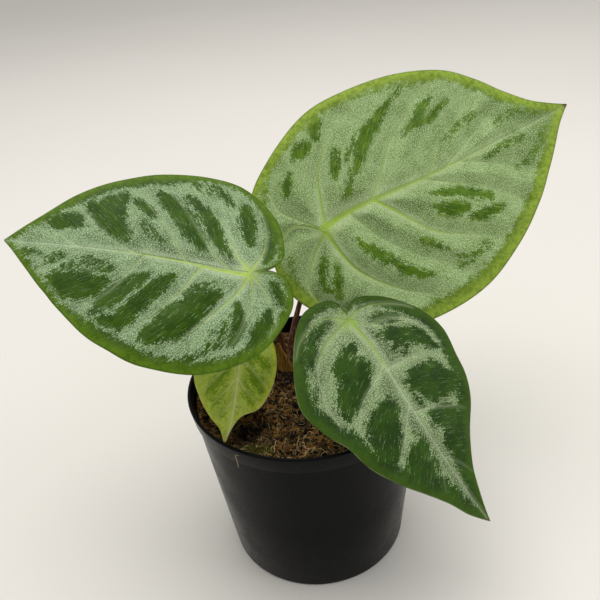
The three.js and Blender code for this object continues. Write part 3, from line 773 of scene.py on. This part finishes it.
BLADES["back"] = {
    "shape": (118, 20, 20, 1, 6, 1.3, 0.8), "grid": (17, 84),
    "tip": (119, 1), "sinus": (-0.5, 0.4), "pairs": (94, 74, 56.5, 41, 23.5, 12),
    "lap": [0] * 11 + [-0.8, -1.5, -1.5, -0.4],
    "band": ([3, 4, 4.5, 5, 5, 5, 4.5, 4.5, 5, 4.5, 3.5, 1, -4, -4, -4],
             [3, 4, 4.5, 5, 5.5, 6, 6.2, 6, 5.5, 5, 5, 5, 1.5, -4, -4, -4]),
    "left": [
        (110.5, 5, 6), (103.5, 9.5, 8), (95.5, 18, 10), (87.5, 28, 12), (76, 37.8, 16),
        (57, 45, 18), (36, 48.4, 20), (18, 48.5, 18), (1, 42.2, 14), (-16.5, 31, 18),
        (-23, 20, 14), (-18.5, 8.6, 4), (-8.5, 3.9, 0)
    ],
    "right": [
        (110.5, 5, 8), (103, 12, 12), (94, 20.5, 14), (82, 31, 16), (67, 40.8, 20), (48, 49, 22),
        (28, 51, 25), (8, 48, 28), (-8, 38.5, 32), (-19, 26, 32), (-25, 12, 26), (-23.2, -3, 12),
        (-14.5, -8.5, 4), (-6.2, -7.5, 0)
    ],
    "panels": [
        [(3.5, 33, 1.5), (6, 34, 3.5), (9.5, 35, 3)],
        [(15, 36, 1.5), (16.5, 40, 3), (19, 44, 2.5)],
        [(14, 18, 1.5), (17, 23, 2.2), (20, 28, 1.2)],
        [(22, 15, 1), (26, 20, 2), (32, 26, 3), (39, 30, 2.5), (46, 34, 1.5), (55, 38, 0.8)],
        [(-6.5, 21, 1.2), (-4, 25, 2.3), (-1.5, 28, 1)],
        [(9, -9, 0.8), (12, -15, 2.2), (16, -21, 2.6), (19, -25, 1.5)],
        [(18, -26, 1.5), (22, -30, 2.4), (28, -35, 1.2)],
        [(-6, -9, 1.2), (-9, -13, 2), (-11, -18, 1.5), (-10, -22, 0.8)],
        [(-3, -14, 1.2), (-6, -20, 2), (-8, -25, 1.2)],
        [(43, -6, 0.8), (50, -9, 1.8), (58, -13, 2.6), (66, -19, 1.5)],
        [(43, -12, 1.5), (48, -16, 3.5), (54, -18, 2)],
        [(54, -22, 1.2), (60, -24, 2.4), (67, -24.5, 1.5)],
        [(47, 20, 0.8), (55, 23, 1.8), (60, 27, 2.2), (65, 29, 0.8)],
        [(53, 20.5, 0.6), (60, 21, 1.4), (66, 23.5, 1.4), (71, 25, 0.6)]
    ],
    "flecked": [
        [(20, 21, 0.8), (25, 25, 1), (30, 29, 0.8)],
        [(60, 11, 0.8), (68, 13, 1.5), (74, 14, 1.5), (80, 14, 0.8)],
        [(-16, 24, 1.2), (-12, 30, 1.5)], [(-18, -3, 1), (-21, -10, 1.8), (-22, -18, 1.5)],
        [(31, -21, 0.8), (35, -25, 1.6), (39, -29, 0.8)], [(42, -34, 1.3), (45, -35.5, 1.2)],
        [(84, 7, 0.8), (92, 8, 1.3), (104, 5, 2)], [(82, -13, 0.7), (90, -12, 1.2), (102, -5, 2)],
        [(24, 47, 1.5), (45, 43, 1.8), (62, 38.5, 1.6)], [(40, -38, 1), (55, -35, 1.6)],
        [(72, -4, 0.8), (80, -3, 1.4), (90, -2, 2.5)],
        [(12, 7, 0.5), (17, 12, 1.2), (20, 17, 0.6)]
    ],
    "shaded": [
        [(3, 5, 1.2), (10, 6.5, 3), (18, 7, 3.4), (22, 5, 1.5)],
        [(15, -1, 1.6), (20, -5, 2), (23, -12, 1.4)],
        [(27, -1.5, 1.6), (33, -6, 3.2), (40, -10, 2.4)], [(-3, -4, 1), (-6, -9, 1.5)],
        [(15, 11, 1), (24, 18, 2), (34, 26, 2.4), (46, 33, 2)],
        [(52, 4, 0.8), (60, 9, 1.6), (66, 12, 1)], [(84, 14, 3), (95, 10, 7), (106, 4, 5)],
        [(88, -8, 4), (98, -6, 6), (108, -2, 4)], [(-3, 12, 1.5), (-6, 20, 2)],
        # Painted shadow of the right lobe's rim on the left lobe, which runs beneath it by the
        # notch
        [(-3, 3, 0.8), (-6.2, 6.4, 1.8), (-10, 7.6, 2), (-15, 6.5, 1.6)],
        [(6, 20, 1.5), (12, 28, 2)], [(3, -26, 1.5), (-6, -30, 2.5)],
        [(26, -14, 1.5), (34, -24, 2.5)], [(44, 12, 1.5), (56, 20, 2.5), (70, 26, 2)]
    ],
    "veins": [
        ([(0, 2), (10, 3), (22, 2.5), (40, 1), (60, 0), (90, 0.2),
         (119, 1)], 1.35, 0.25, 1, 0.15),
        ([(23, 2.3), (28, -5), (33, -13), (38, -20), (44, -24.5), (50, -28),
         (58, -33)], 0.7, 0.3, 1, 0.15),
        ([(0, 0), (1, -10), (3, -18), (7, -25), (12, -31), (17, -36),
         (24, -41)], 0.75, 0.3, 1, 0.2),
        ([(0, 1), (1, 3), (4, 12), (8, 22), (14, 29), (21, 35), (28, 41)], 0.7, 0.3, 0.9, 0.2),
        ([(21, 2.4), (28, 8), (38, 18), (48, 25), (60, 32), (68, 36)], 0.5, 0.25, 0.5, 0.1),
        ([(48, 0.6), (55, 8), (63, 14), (70, 16), (82, 25)], 0.4, 0.2, 0.45, 0.1),
        ([(55, 0.2), (67, 5), (78, 9), (90, 15)], 0.35, 0.2, 0.4, 0.1),
        ([(44, 0.8), (54, -6), (64, -13), (74, -22), (80, -29)], 0.4, 0.2, 0.35, 0.1),
        ([(62, 0), (74, -7), (84, -14), (92, -19)], 0.35, 0.2, 0.3, 0.1),
        ([(-1.5, 1.4), (-4.4, 4.7), (-6.9, 7), (-10.2, 8.5), (-14.2, 7.9),
         (-19, 5)], 0.2, 0.25, 0.9, 1),
        ([(0, 2), (-2, 3), (-8, 11), (-12, 17), (-12, 25), (-6, 34)], 0.5, 0.2, 0.5, 0.1),
        ([(0, 1), (-1, 0), (-8, -5), (-14, -11), (-17, -18), (-14, -27),
         (-6, -35)], 0.55, 0.22, 0.8, 0.15),
        ([(12, 3), (15, -6), (19, -14), (25, -22), (33, -31), (42, -40)], 0.35, 0.2, 0.3, 0.1)
    ],
}
BLADES["front"] = {
    "shape": (84.5, 17, 70, 3.5, 6, 0.75, 0.5), "grid": (17, 60),
    "tip": (85, 2.8), "sinus": (-1.5, 1), "pairs": (74, 62, 49.5, 37.3, 28.5, 20),
    "band": ([3, 4, 6, 7.5, 6, 5.5, 5, 5, 5, 4.5, 3, 1.5, 0.3],
             [3, 4, 6, 7, 6, 5.5, 5.5, 5.5, 5.2, 4.6, 4, 3, 1.5, 0.3]),
    "left": [
        (76.6, 4.4, 4), (66.3, 8.1, 8), (56.5, 15.1, 12), (48.6, 22.8, 14), (40.8, 26.9, 14),
        (32.9, 28.9, 12), (22.6, 31.5, 26), (12.3, 28.5, 24), (1.5, 19.4, 22), (-4.5, 9.8, 14),
        (-4.1, 4.3, 4)
    ],
    "right": [
        (77.6, 3.1, 4), (69.2, 7.6, 8), (61.4, 12.9, 12), (53, 18.7, 14), (42.7, 23.9, 14),
        (33.4, 26.1, 14), (24.6, 29.9, 34), (12.8, 31.4, 28), (-1.5, 22.8, 26), (-10.8, 11.8, 24),
        (-10.1, 1.6, 10), (-5.3, -1.8, 0)
    ],
    "panels": [
        [(30, 8.5, 4.6), (34, 14, 7.2), (38.5, 20, 4.2)],
        [(43.5, 6.5, 3), (48, 11, 5.6), (54, 10, 6.8), (62, 6, 3.6)],
        [(11, 8, 2), (14, 13, 3.2), (17, 18, 3.4), (22, 22, 2.6), (26, 24, 1.2)],
        [(4, 8, 1), (6, 13, 2.2), (9, 18, 1.4)], [(8, -5.5, 2.4), (11, -10, 4), (12, -14, 2.4)],
        [(15.5, -6, 3.4), (18, -11, 5.4), (21.5, -16.5, 4.8), (24, -19.5, 2.8)],
        [(31.5, -7, 3.8), (35.5, -12, 6.4), (42, -15.5, 5.4)],
        [(49, -5.5, 3.8), (53, -9, 5.4), (59, -10, 4.8)],
        [(-4, -5, 1.4), (-3, -11, 2.2), (-1, -16, 1.8), (2, -21, 1.4)],
        [(1, -16, 2.2), (4, -20, 2.4)], [(64, 5.5, 2.4), (73, 5, 3)], [(62, -6, 3), (72, -4.5, 3)]
    ],
    "flecked": [
        [(27, 4, 1), (32, 5, 1.4), (38, 4.5, 1)], [(28, -5, 1), (31, -9, 1.6), (33, -14, 1)],
        [(17, 8, 0.8), (20, 13, 1)], [(-2, 7, 0.8), (-1, 11, 1)], [(9, -20, 1), (14, -26, 1.2)],
        [(44, -3.5, 1), (58, -4, 1.5)]
    ],
    "shaded": [
        [(3, 3, 1), (10, 5.5, 2), (19, 5, 2)],
        [(24, -2.5, 1), (40, -2, 1.4), (50, 0, 2), (64, 0.5, 2.4), (78, 1.5, 1.4)]
    ],
    "veins": [
        ([(0, 1), (6, 1.7), (13, 2.1), (22, 1.5)], 0.7, 0.5, 1, 0.55),
        ([(22, 1.5), (40, 0.5), (60, 0.6), (85, 2.4)], 0.5, 0.2, 0.4, 0.3),
        ([(0, 0), (1, -8), (3, -14), (7, -19), (13, -22), (20, -24),
         (27, -24)], 0.5, 0.2, 0.6, 0.2),
        ([(18, 1.4), (20, -1), (22, -6), (24, -12), (28, -17), (32, -20)], 0.45, 0.2, 0.55, 0.15),
        ([(35, 0.6), (37, -2), (42, -7), (46, -12), (50, -15.5)], 0.4, 0.2, 0.45, 0.15),
        ([(54, 0.4), (60, -3), (66, -6)], 0.3, 0.15, 0.25, 0.1),
        ([(0, 0.5), (-1, 7), (1, 14), (6, 22), (10, 26)], 0.42, 0.2, 0.5, 0.15),
        ([(0, 1), (5, 7), (8, 16), (14, 23), (21, 26), (28, 26)], 0.45, 0.2, 0.5, 0.2),
        ([(21, 1.6), (22, 8), (24, 15), (27, 21), (31, 25)], 0.45, 0.2, 0.55, 0.15),
        ([(38, 0.6), (41, 8), (46, 16), (49, 19)], 0.36, 0.18, 0.45, 0.15),
        ([(56, 0.6), (62, 5), (67, 7)], 0.3, 0.15, 0.25, 0.1),
        ([(0, 0), (-5, -5), (-6, -11), (-4, -18), (0, -23)], 0.42, 0.2, 0.45, 0.15)
    ],
}
BLADES["young"] = {
    "shape": (40, 17, 30, 3, 8, 0.35, 0.3), "grid": (12, 44),
    "tip": (40.5, -0.8), "sinus": (-1.2, 0), "pairs": (33, 26, 17, 9),
    "band": ([0.4, 0.5, 0.8, 1.4, 1.4, 1.2, 1, 0.8, 0.5, 0.2],
             [0.4, 0.5, 0.8, 0.6, 0.6, 0.6, 0.8, 0.8, 0.5, 0.2]),
    "left": [
        (34.5, 1.3, 4), (30, 4.4, 8), (26.5, 10.4, 12), (18, 13.9, 16), (8.5, 14, 20),
        (0, 11, 26), (-5.5, 5.5, 24), (-4.3, 1.2, 6)
    ],
    "right": [
        (35.4, 3, 4), (30.8, 7.6, 8), (25, 12.2, 12), (16.5, 16.6, 16), (7.5, 16.4, 20),
        (-1, 12.8, 26), (-6, 6, 24), (-4.6, 1.2, 6)
    ],
    "panels": [
        [(10, 3.5, 1), (16, 7, 2.2), (20, 10.5, 1.4)],
        [(18, 3.4, 1), (22.5, 6, 1.8), (26.5, 8.6, 1)],
        [(11, -2.5, 1), (17, -6.5, 2.2), (21.5, -9.5, 1.3)],
        [(6, 5, 0.8), (9.5, 9, 1.8), (12, 12, 1)],
        [(4, -5, 0.8), (7.5, -10, 1.8), (11.5, -13.5, 1)],
        [(19, -2.5, 0.7), (24, -5.5, 1.5), (28, -7.5, 0.7)]
    ],
    "flecked": [
        [(17, -3.5, 0.6), (24, -8, 0.9)], [(27, 2.5, 0.6), (32, 2.5, 0.8)],
        [(26, -3, 0.6), (31, -3, 0.8)], [(1, 4, 0.5), (2, 9, 0.8)]
    ],
    "shaded": [[(3, 3, 0.5), (9, 4.5, 1)], [(4, -3, 0.5), (10, -4.5, 1)]],
    "veins": [
        ([(0, 0.3), (10, 0.5), (30, 1), (39, -0.4)], 0.5, 0.2, 1, 0.6),
        ([(8, 0.4), (12, 5), (16, 9), (20, 12.5)], 0.32, 0.15, 0.8, 0.3),
        ([(16, 0.6), (20, 4), (24, 8), (27, 10)], 0.3, 0.15, 0.8, 0.3),
        ([(24, 0.8), (28, 3.5), (30, 4.5)], 0.25, 0.12, 0.6, 0.3),
        ([(8, 0.3), (13, -5), (18, -9), (22, -12)], 0.32, 0.15, 0.8, 0.3),
        ([(16, 0.6), (22, -4), (27, -8)], 0.3, 0.15, 0.8, 0.3),
        ([(24, 0.8), (29, -3), (32, -5)], 0.25, 0.12, 0.6, 0.3),
        ([(0, 0.2), (2, 6), (5, 11)], 0.32, 0.15, 0.7, 0.3),
        ([(0, 0.1), (3, -7), (7, -13)], 0.32, 0.15, 0.7, 0.3),
        ([(0, 0.2), (-2, 4), (-1, 9)], 0.28, 0.12, 0.6, 0.3),
        ([(0, 0.1), (-3, -4), (-2, -10)], 0.28, 0.12, 0.6, 0.3)
    ],
}


def along_curve(points, where):
    """A smooth curve through points that are one step apart, at shares of its length."""
    points = np.array(points, float)
    last = len(points) - 1
    spot = np.clip(where, 0, 1) * last
    i = np.minimum(spot.astype(int), last - 1)
    w = (spot - i)[:, None]
    p0, p1, p2 = points[np.maximum(i - 1, 0)], points[i], points[i + 1]
    p3 = points[np.minimum(i + 2, last)]
    v0, v1 = (p2 - p0) / 2, (p3 - p1) / 2
    return ((2 * p1 - 2 * p2 + v0 + v1) * w ** 3 + (3 * p2 - 3 * p1 - 2 * v0 - v1) * w ** 2
            + v0 * w + p1)


def from_line(points, line):
    """How far each point is from a line, and the share of the line at which it passes nearest."""
    nearest, share = np.full(len(points), np.inf), np.zeros(len(points))
    for k in range(len(line) - 1):
        a, b = line[k, :2], line[k + 1, :2]
        way = b - a
        t = np.clip((points - a) @ way / max(way @ way, 1e-12), 0, 1)
        gap = np.hypot(*(points - a - t[:, None] * way).T)
        closer = gap < nearest
        nearest[closer], share[closer] = gap[closer], (k + t[closer]) / (len(line) - 1)
    return nearest, share


def in_panel(points, spine):
    """How deep inside a panel each point lies, in mm, and less than 0 outside it."""
    line = along_curve(spine, np.linspace(0, 1, SPINE_STEPS * len(spine)))
    gap, share = from_line(points, line)
    return np.interp(share, np.linspace(0, 1, len(line)), line[:, 2]) - gap


def vein_field(points, veins):
    """For the vein that is nearest in its own widths: the gap to it in half widths, squared, how
    bright it is there, and the plain gap in mm to the nearest of them."""
    ratio = np.full(len(points), float(VEIN_REACH))
    bright, plain = np.zeros(len(points)), np.full(len(points), 99.0)
    for line, half_start, half_end, light_start, light_end in veins:
        line = along_curve(line, np.linspace(0, 1, VEIN_STEPS * len(line)))
        gap, share = from_line(points, line)
        half = half_start + (half_end - half_start) * share
        square = np.minimum((gap / half) ** 2, VEIN_REACH)
        closer = square < ratio
        ratio[closer] = square[closer]
        bright[closer] = (light_start + (light_end - light_start) * share)[closer]
        plain = np.minimum(plain, gap + 0.9 * share)
    return ratio, bright, plain


def on_blade(name, x, y, rise):
    """Points of a blade's flat plan bent into their place: rise is above the blade's upper face."""
    length, droop, lobe_droop, fold, arch, _, _ = BLADES[name]["shape"]
    along, left, up = leaf_axes(name)
    bend = np.where(x >= 0, math.radians(droop), math.radians(lobe_droop)) / length
    lean = bend * x
    spread, fold = math.radians(arch) / (0.45 * length), math.radians(fold)
    slope = fold + spread * np.abs(y)
    out = np.sign(y) * ((np.sin(slope) - math.sin(fold)) / spread + rise * np.sin(slope))
    down = (math.cos(fold) - np.cos(slope)) / spread - rise * np.cos(slope)
    ahead = np.sin(lean) / bend - down * np.sin(lean)
    over = (np.cos(lean) - 1) / bend - down * np.cos(lean)
    return (np.array(LEAF_SEATS[name][0]) + ahead[:, None] * along + over[:, None] * up
            + out[:, None] * left)


def blade_half(name, side):
    """One half of a blade: a grid fanned out from the midrib and the foot to the margin."""
    blade = BLADES[name]
    rows, widths = blade["left" if side > 0 else "right"], blade["band"][0 if side > 0 else 1]
    (tip_x, tip_y), (sinus_x, sinus_y) = blade["tip"], blade["sinus"]
    ends = [(tip_x, side * tip_y)] + [row[:2] for row in rows] + [(sinus_x, side * sinus_y)]
    starts = [tip_x] + list(blade["pairs"]) + [0] * (len(rows) - len(blade["pairs"])) + [0]
    bows = [0] + [row[2] for row in rows] + [0]
    spans, (ribs, steps) = len(ends) - 1, blade["grid"]
    drop_selection()
    bpy.ops.mesh.primitive_grid_add(x_subdivisions=steps, y_subdivisions=spans * ribs, size=1)
    half = bpy.context.object
    flat = np.empty(3 * len(half.data.vertices))
    half.data.vertices.foreach_get("co", flat)
    flat = flat.reshape(-1, 3)
    across, around = 0.5 - side * flat[:, 0], 0.5 - flat[:, 1]

    # From the midrib or the foot each rib runs in a bow to the margin
    end = along_curve(ends, around)
    line = along_curve(list(zip(starts, bows)), around)
    start_x = np.maximum(line[:, 0], 0)
    start = np.stack([start_x, side * tip_y * (start_x / tip_x) ** 3], 1)
    half_way, bow = (end - start) / 2, np.radians(line[:, 1])
    bowed = start + np.stack([half_way[:, 0] * np.cos(bow) - half_way[:, 1] * np.sin(bow),
                              half_way[:, 0] * np.sin(bow) + half_way[:, 1] * np.cos(bow)], 1)
    t = across[:, None]
    plan = (1 - t) ** 2 * start + 2 * t * (1 - t) * bowed + t * t * end
    plan[:, 1] *= side

    # The markings, as values at each corner that the finish reads
    margin = along_curve(ends, np.linspace(0, 1, MARGIN_STEPS)) * (1, side)
    rim, nearest = from_line(plan, margin)
    rim[across > 0.9999] = 0
    green = np.interp(nearest, np.linspace(0, 1, len(widths)), widths) - rim
    for spine in blade["panels"]:
        green = np.maximum(green, in_panel(plan, spine))
    for spine in blade["flecked"]:
        green = np.maximum(green, np.minimum(in_panel(plan, spine) * 0.9, 0.3))
    green = np.clip(green, -4, 4)
    # Where the silver is thin, and where the shade of the quilting and of an overlapping lobe is
    # painted in
    thin_silver_and_shade = np.zeros(len(plan))
    for spine in blade["shaded"]:
        thin_silver_and_shade = np.maximum(thin_silver_and_shade, np.clip(0.5 + in_panel(plan, spine) / 4, 0, 1))
    veins, bright, gap = vein_field(plan, blade["veins"])

    # The face: quilted between sunken veins, flat by the margin and the foot, with a waved margin
    quilt, wave = blade["shape"][5:]
    calm = np.clip(rim / 6, 0, 1) ** 0.7 * (1 - 0.7 * np.exp(-(np.hypot(*plan.T) / 5) ** 2))
    rise = quilt * calm * (1.6 * (1 - np.exp(-(gap / 4.8) ** 2)) - 0.9)
    rise -= 0.32 * calm * np.exp(-(gap / 0.8) ** 2)
    swing = np.sin(2 * math.pi * WAVES_PER_SIDE * around + side) * np.sin(math.pi * around)
    rise += wave * swing * across ** 3
    if side > 0 and "lap" in blade:
        sunk = np.interp(around, np.linspace(0, 1, len(blade["lap"])), blade["lap"])
        rise += sunk * np.minimum(1, 2 * across)
    y = np.where(np.abs(plan[:, 1]) < 1e-6, side * 1e-6, plan[:, 1])
    half.data.vertices.foreach_set("co", (on_blade(name, plan[:, 0], y, rise) * MM).ravel())

    on_ribs = np.stack([around * spans, across * np.hypot(*(end - start).T), 0 * across], 1)
    fields = {"green": green, "vein": veins, "bright": bright, "rim": rim, "thin_silver_and_shade": thin_silver_and_shade,
              "plan": np.column_stack([plan, 0 * rim]), "ribs": on_ribs}
    for label, values in fields.items():
        kind, key = ("FLOAT", "value") if values.ndim == 1 else ("FLOAT_VECTOR", "vector")
        half.data.attributes.new(label, kind, "POINT").data.foreach_set(key, values.ravel())
    half.data.update()
    return half


def leaf_blade(name, upper, under):
    """Both halves joined along the midrib, and the sheet given its thickness and its two faces."""
    blade = joined([blade_half(name, 1), blade_half(name, -1)])
    edit_all()
    bpy.ops.mesh.remove_doubles(threshold=0.00002)
    bpy.ops.object.mode_set(mode="OBJECT")
    blade.data.materials.append(upper)
    blade.data.materials.append(under)
    sheet = blade.modifiers.new("sheet", "SOLIDIFY")
    sheet.thickness, sheet.offset = BLADE_SHEET * MM, 0
    sheet.material_offset = 1
    bpy.ops.object.shade_smooth()
    bpy.ops.object.modifier_apply(modifier=sheet.name)
    return blade


def fine_network(plan):
    """The finest veins, as the distance to the nearest of them in cells of a network."""
    return put("TexVoronoi", {"Vector": plan, "Scale": 0.42}, feature="DISTANCE_TO_EDGE",
               voronoi_dimensions="2D").outputs["Distance"]


def blade_upper(name, green, deep, silver, bright_silver, vein_color, edge, hem, brown_from,
                yellow_to, edge_wide, sparkle):
    """The upper face: silver grains over green, dissolving at their border along the side veins."""
    new_finish(name, 0.42, 0.13)

    def spread(value, amount):
        return times(calc("SUBTRACT", value, 0.5), amount)

    def fanned(along, out, detail, rough):
        return grains(stretched(ribs, (along, out, 1)), 1, detail, rough, flat=True)

    plan, ribs, rim = field("plan", "Vector"), field("ribs", "Vector"), field("rim")
    streaks, scratches = fanned(15, 0.13, 3, 0.65), fanned(30, 0.2, 2, 0.6)
    specks = grains(plan, 0.62, 2, 0.8, flat=True)
    clouds = grains(plan, 7, 3, flat=True)
    ragged = grains(plan, 2.2, 3, 0.6, flat=True)
    torn = plus(spread(streaks, 5.0), spread(specks, 5.5))
    border = plus(field("green"), plus(torn, spread(ragged, 3.6)))
    inside = times(ease(scratches, 0.63, 0.72), ease(specks, 0.38, 0.5))
    inside = times(inside, ease(rim, 1.2, 4.5, 0, 0.75))
    is_green = times(ease(border, -0.14, 0.12), calc("SUBTRACT", 1.0, inside))

    # The silver, with grains, pores and scratches
    grain = ease(grains(plan, 0.42, 2, 0.7, flat=True), 0.5, 0.6)
    pores = ease(grains(plan, 0.55, 2, 0.75, flat=True), 0.46, 0.38, 0, 0.7 * sparkle)
    shade = blend(ease(clouds, 0.38, 0.66, 0, 0.5), silver, green)
    shade = blend(ease(scratches, 0.5, 0.3, 0, 0.35), shade, green)
    fine_streaks = ease(fanned(48, 0.45, 2, 0.6), 0.52, 0.66, 0, 0.4 * sparkle)
    shade = blend(fine_streaks, shade, bright_silver)
    # Painted shade and thin silver: the face turned duller and greener there
    shade = blend(ease(field("thin_silver_and_shade"), 0, 1, 0, 0.62), shade, deep)
    shade = blend(times(grain, sparkle), shade, bright_silver)
    shade = blend(pores, shade, green)
    # The green, with a lighter and mottled band along the margin: partly the margin's own paler
    # green, partly painted light shining through the thin edge
    dark = blend(ease(clouds, 0.36, 0.62), green, deep)
    dark = blend(ease(streaks, 0.5, 0.72, 0, 0.35), dark, edge)
    mottled = ease(ragged, 0.66, 0.4, 0.55, 1)
    dark = blend(times(ease(rim, edge_wide, 0.3, 0, 0.9), mottled), dark, edge)
    dark = blend(ease(rim, 0.8, 0.1, 0, 0.5), dark, deep)
    color = blend(is_green, shade, dark)
    # The veins, yellow near the foot and silver further out
    vein, bright = field("vein"), field("bright")
    color = blend(times(ease(vein, 26, 1.5, 0, 0.4), bright), color, bright_silver)
    middle = put("VectorMath", {0: plan}, operation="LENGTH").outputs["Value"]
    line = ease(vein, 2.2, 0.2)
    sap = blend(ease(middle, yellow_to * 0.5, yellow_to), vein_color, bright_silver)
    color = blend(times(line, bright), color, sap)
    color = blend(ease(middle, 6, 0.5, 0, 0.45), color, vein_color)
    # The very edge, and the dry tip
    hemmed = times(ease(rim, 0.5, 0.1), ease(clouds, 0.35, 0.6, 0.25, 0.8))
    color = blend(times(hemmed, ease(middle, 12, 24)), color, hem)
    far = put("SeparateXYZ", {"Vector": plan}).outputs["X"]
    color = blend(ease(far, brown_from, brown_from + 1.6, 0, 0.85), color, (92, 62, 30))
    join_or_set(the_surface.inputs["Roughness"], ease(is_green, 0, 1, 0.48, 0.34))
    height = plus(times(ease(fine_network(plan), 0, 0.16), 0.3), times(grain, 0.35))
    height = calc("SUBTRACT", height, times(line, 0.8))
    height = plus(plus(height, times(clouds, 1.6)), times(streaks, 0.8))
    return coated(color, height, 0.00022, 0.8)


def blade_under(name, base, vein_color):
    """The underside: paler and duller, with the veins standing out of it."""
    new_finish(name, 0.6, 0.35)
    plan = field("plan", "Vector")
    clouds = grains(plan, 5, 4, flat=True)
    color = blend(ease(clouds, 0.35, 0.65, 0, 0.3), base, (150, 172, 120))
    line = ease(field("vein"), 4, 0.5)
    color = blend(times(line, field("bright")), color, vein_color)
    height = calc("SUBTRACT", times(line, 2.0), ease(fine_network(plan), 0.1, 0, 0, 0.4))
    return coated(color, height, 0.0003, 0.9)


# Each blade's slot and its colours: green, deeper green, silver, bright silver, vein, margin, the
# margin's very edge, and underside. Then how far out its tip is brown, and its veins yellow; the
# margin's width; and how strong its silver grains are
BLADE_LOOKS = {
    "left": ("blade", ((56, 88, 10), (44, 74, 8), (128, 158, 106), (208, 226, 190), (180, 206, 98),
                       (96, 128, 18), (96, 130, 50), (104, 134, 74)), (99, 60, 5.5, 0.72)),
    "back": ("silver_blade", ((78, 114, 14), (62, 96, 12), (138, 168, 106), (210, 228, 176),
                              (154, 186, 68), (158, 184, 66), (120, 140, 56), (122, 150, 88)),
             (116, 95, 9, 0.78)),
    "front": ("blade", ((50, 82, 16), (36, 64, 14), (124, 152, 96), (206, 220, 180), (150, 184, 72),
                        (64, 94, 20), (120, 138, 84), (104, 134, 74)), (82.5, 26, 4.2, 0.76)),
    "young": ("young_blade", ((124, 160, 22), (104, 144, 20), (196, 216, 78), (236, 242, 150),
                              (236, 242, 160), (232, 234, 76), (236, 232, 150), (150, 170, 74)),
              (38.5, 60, 3, 0.4)),
}
VEIN_COLOR = 4
for leaf_name, (slot_name, colors, reaches) in BLADE_LOOKS.items():
    *above, below = colors
    upper = blade_upper(leaf_name + "_upper_face", *above, *reaches)
    under = blade_under(leaf_name + "_underside", below, above[VEIN_COLOR])
    finished(leaf_blade(leaf_name, upper, under), "blade_" + leaf_name, [],
             ["leaf_" + leaf_name])


# ------------------------------------------------------------
# The floor, the light and the camera. A pale matt floor, broad soft lights overhead, and the camera
# where the photograph was taken from: above the pot and looking down on it.
# ------------------------------------------------------------
FLOOR_SIZE = 12
LIT_POINT = (0, 0, 0.08)
CAMERA_PLACE, CAMERA_TURN = (0.00092, -0.21149, 0.23228), (59.6103, 4.79457, -2.80627)
SENSOR_WIDTH, FOCAL_LENGTH = 36, 41.225

drop_selection()
bpy.ops.mesh.primitive_plane_add(size=FLOOR_SIZE)
floor = bpy.context.object
floor.name = "pale_floor"
new_finish("pale_floor", 0.7, 0.2)
pale_color = blend(grains(on_piece(), 0.4, 2), (232, 228, 220), (238, 235, 229))
join_or_set(the_surface.inputs["Base Color"], pale_color)
floor.data.materials.append(the_finish)


def soft_light(name, place, width, power, color):
    lamp = bpy.data.lights.new(name, "AREA")
    lamp.shape, lamp.size, lamp.energy, lamp.color = "DISK", width, power, color
    light = bpy.data.objects.new(name, lamp)
    bpy.context.scene.collection.objects.link(light)
    light.location = place
    light.rotation_euler = (Vector(LIT_POINT) - Vector(place)).to_track_quat("-Z", "Y").to_euler()


soft_light("ceiling_light", (-0.08, 0.22, 1.3), 1.4, 11, (1, 0.985, 0.96))
soft_light("side_light", (0.9, -0.25, 0.9), 0.8, 2.4, (0.97, 0.985, 1))

world = bpy.data.worlds.new("soft_room")
world.use_nodes = True
sky = world.node_tree.nodes["Background"]
sky.inputs["Color"].default_value = (1, 0.99, 0.975, 1)
sky.inputs["Strength"].default_value = 0.52
bpy.context.scene.world = world
bpy.context.scene.view_settings.view_transform = "Standard"

lens = bpy.data.cameras.new("camera")
lens.sensor_width, lens.lens = SENSOR_WIDTH, FOCAL_LENGTH
lens.clip_start, lens.clip_end = 0.01, 20
camera = bpy.data.objects.new("camera", lens)
bpy.context.scene.collection.objects.link(camera)
camera.location = CAMERA_PLACE
camera.rotation_euler = [math.radians(turn) for turn in CAMERA_TURN]
bpy.context.scene.camera = camera

drop_selection()
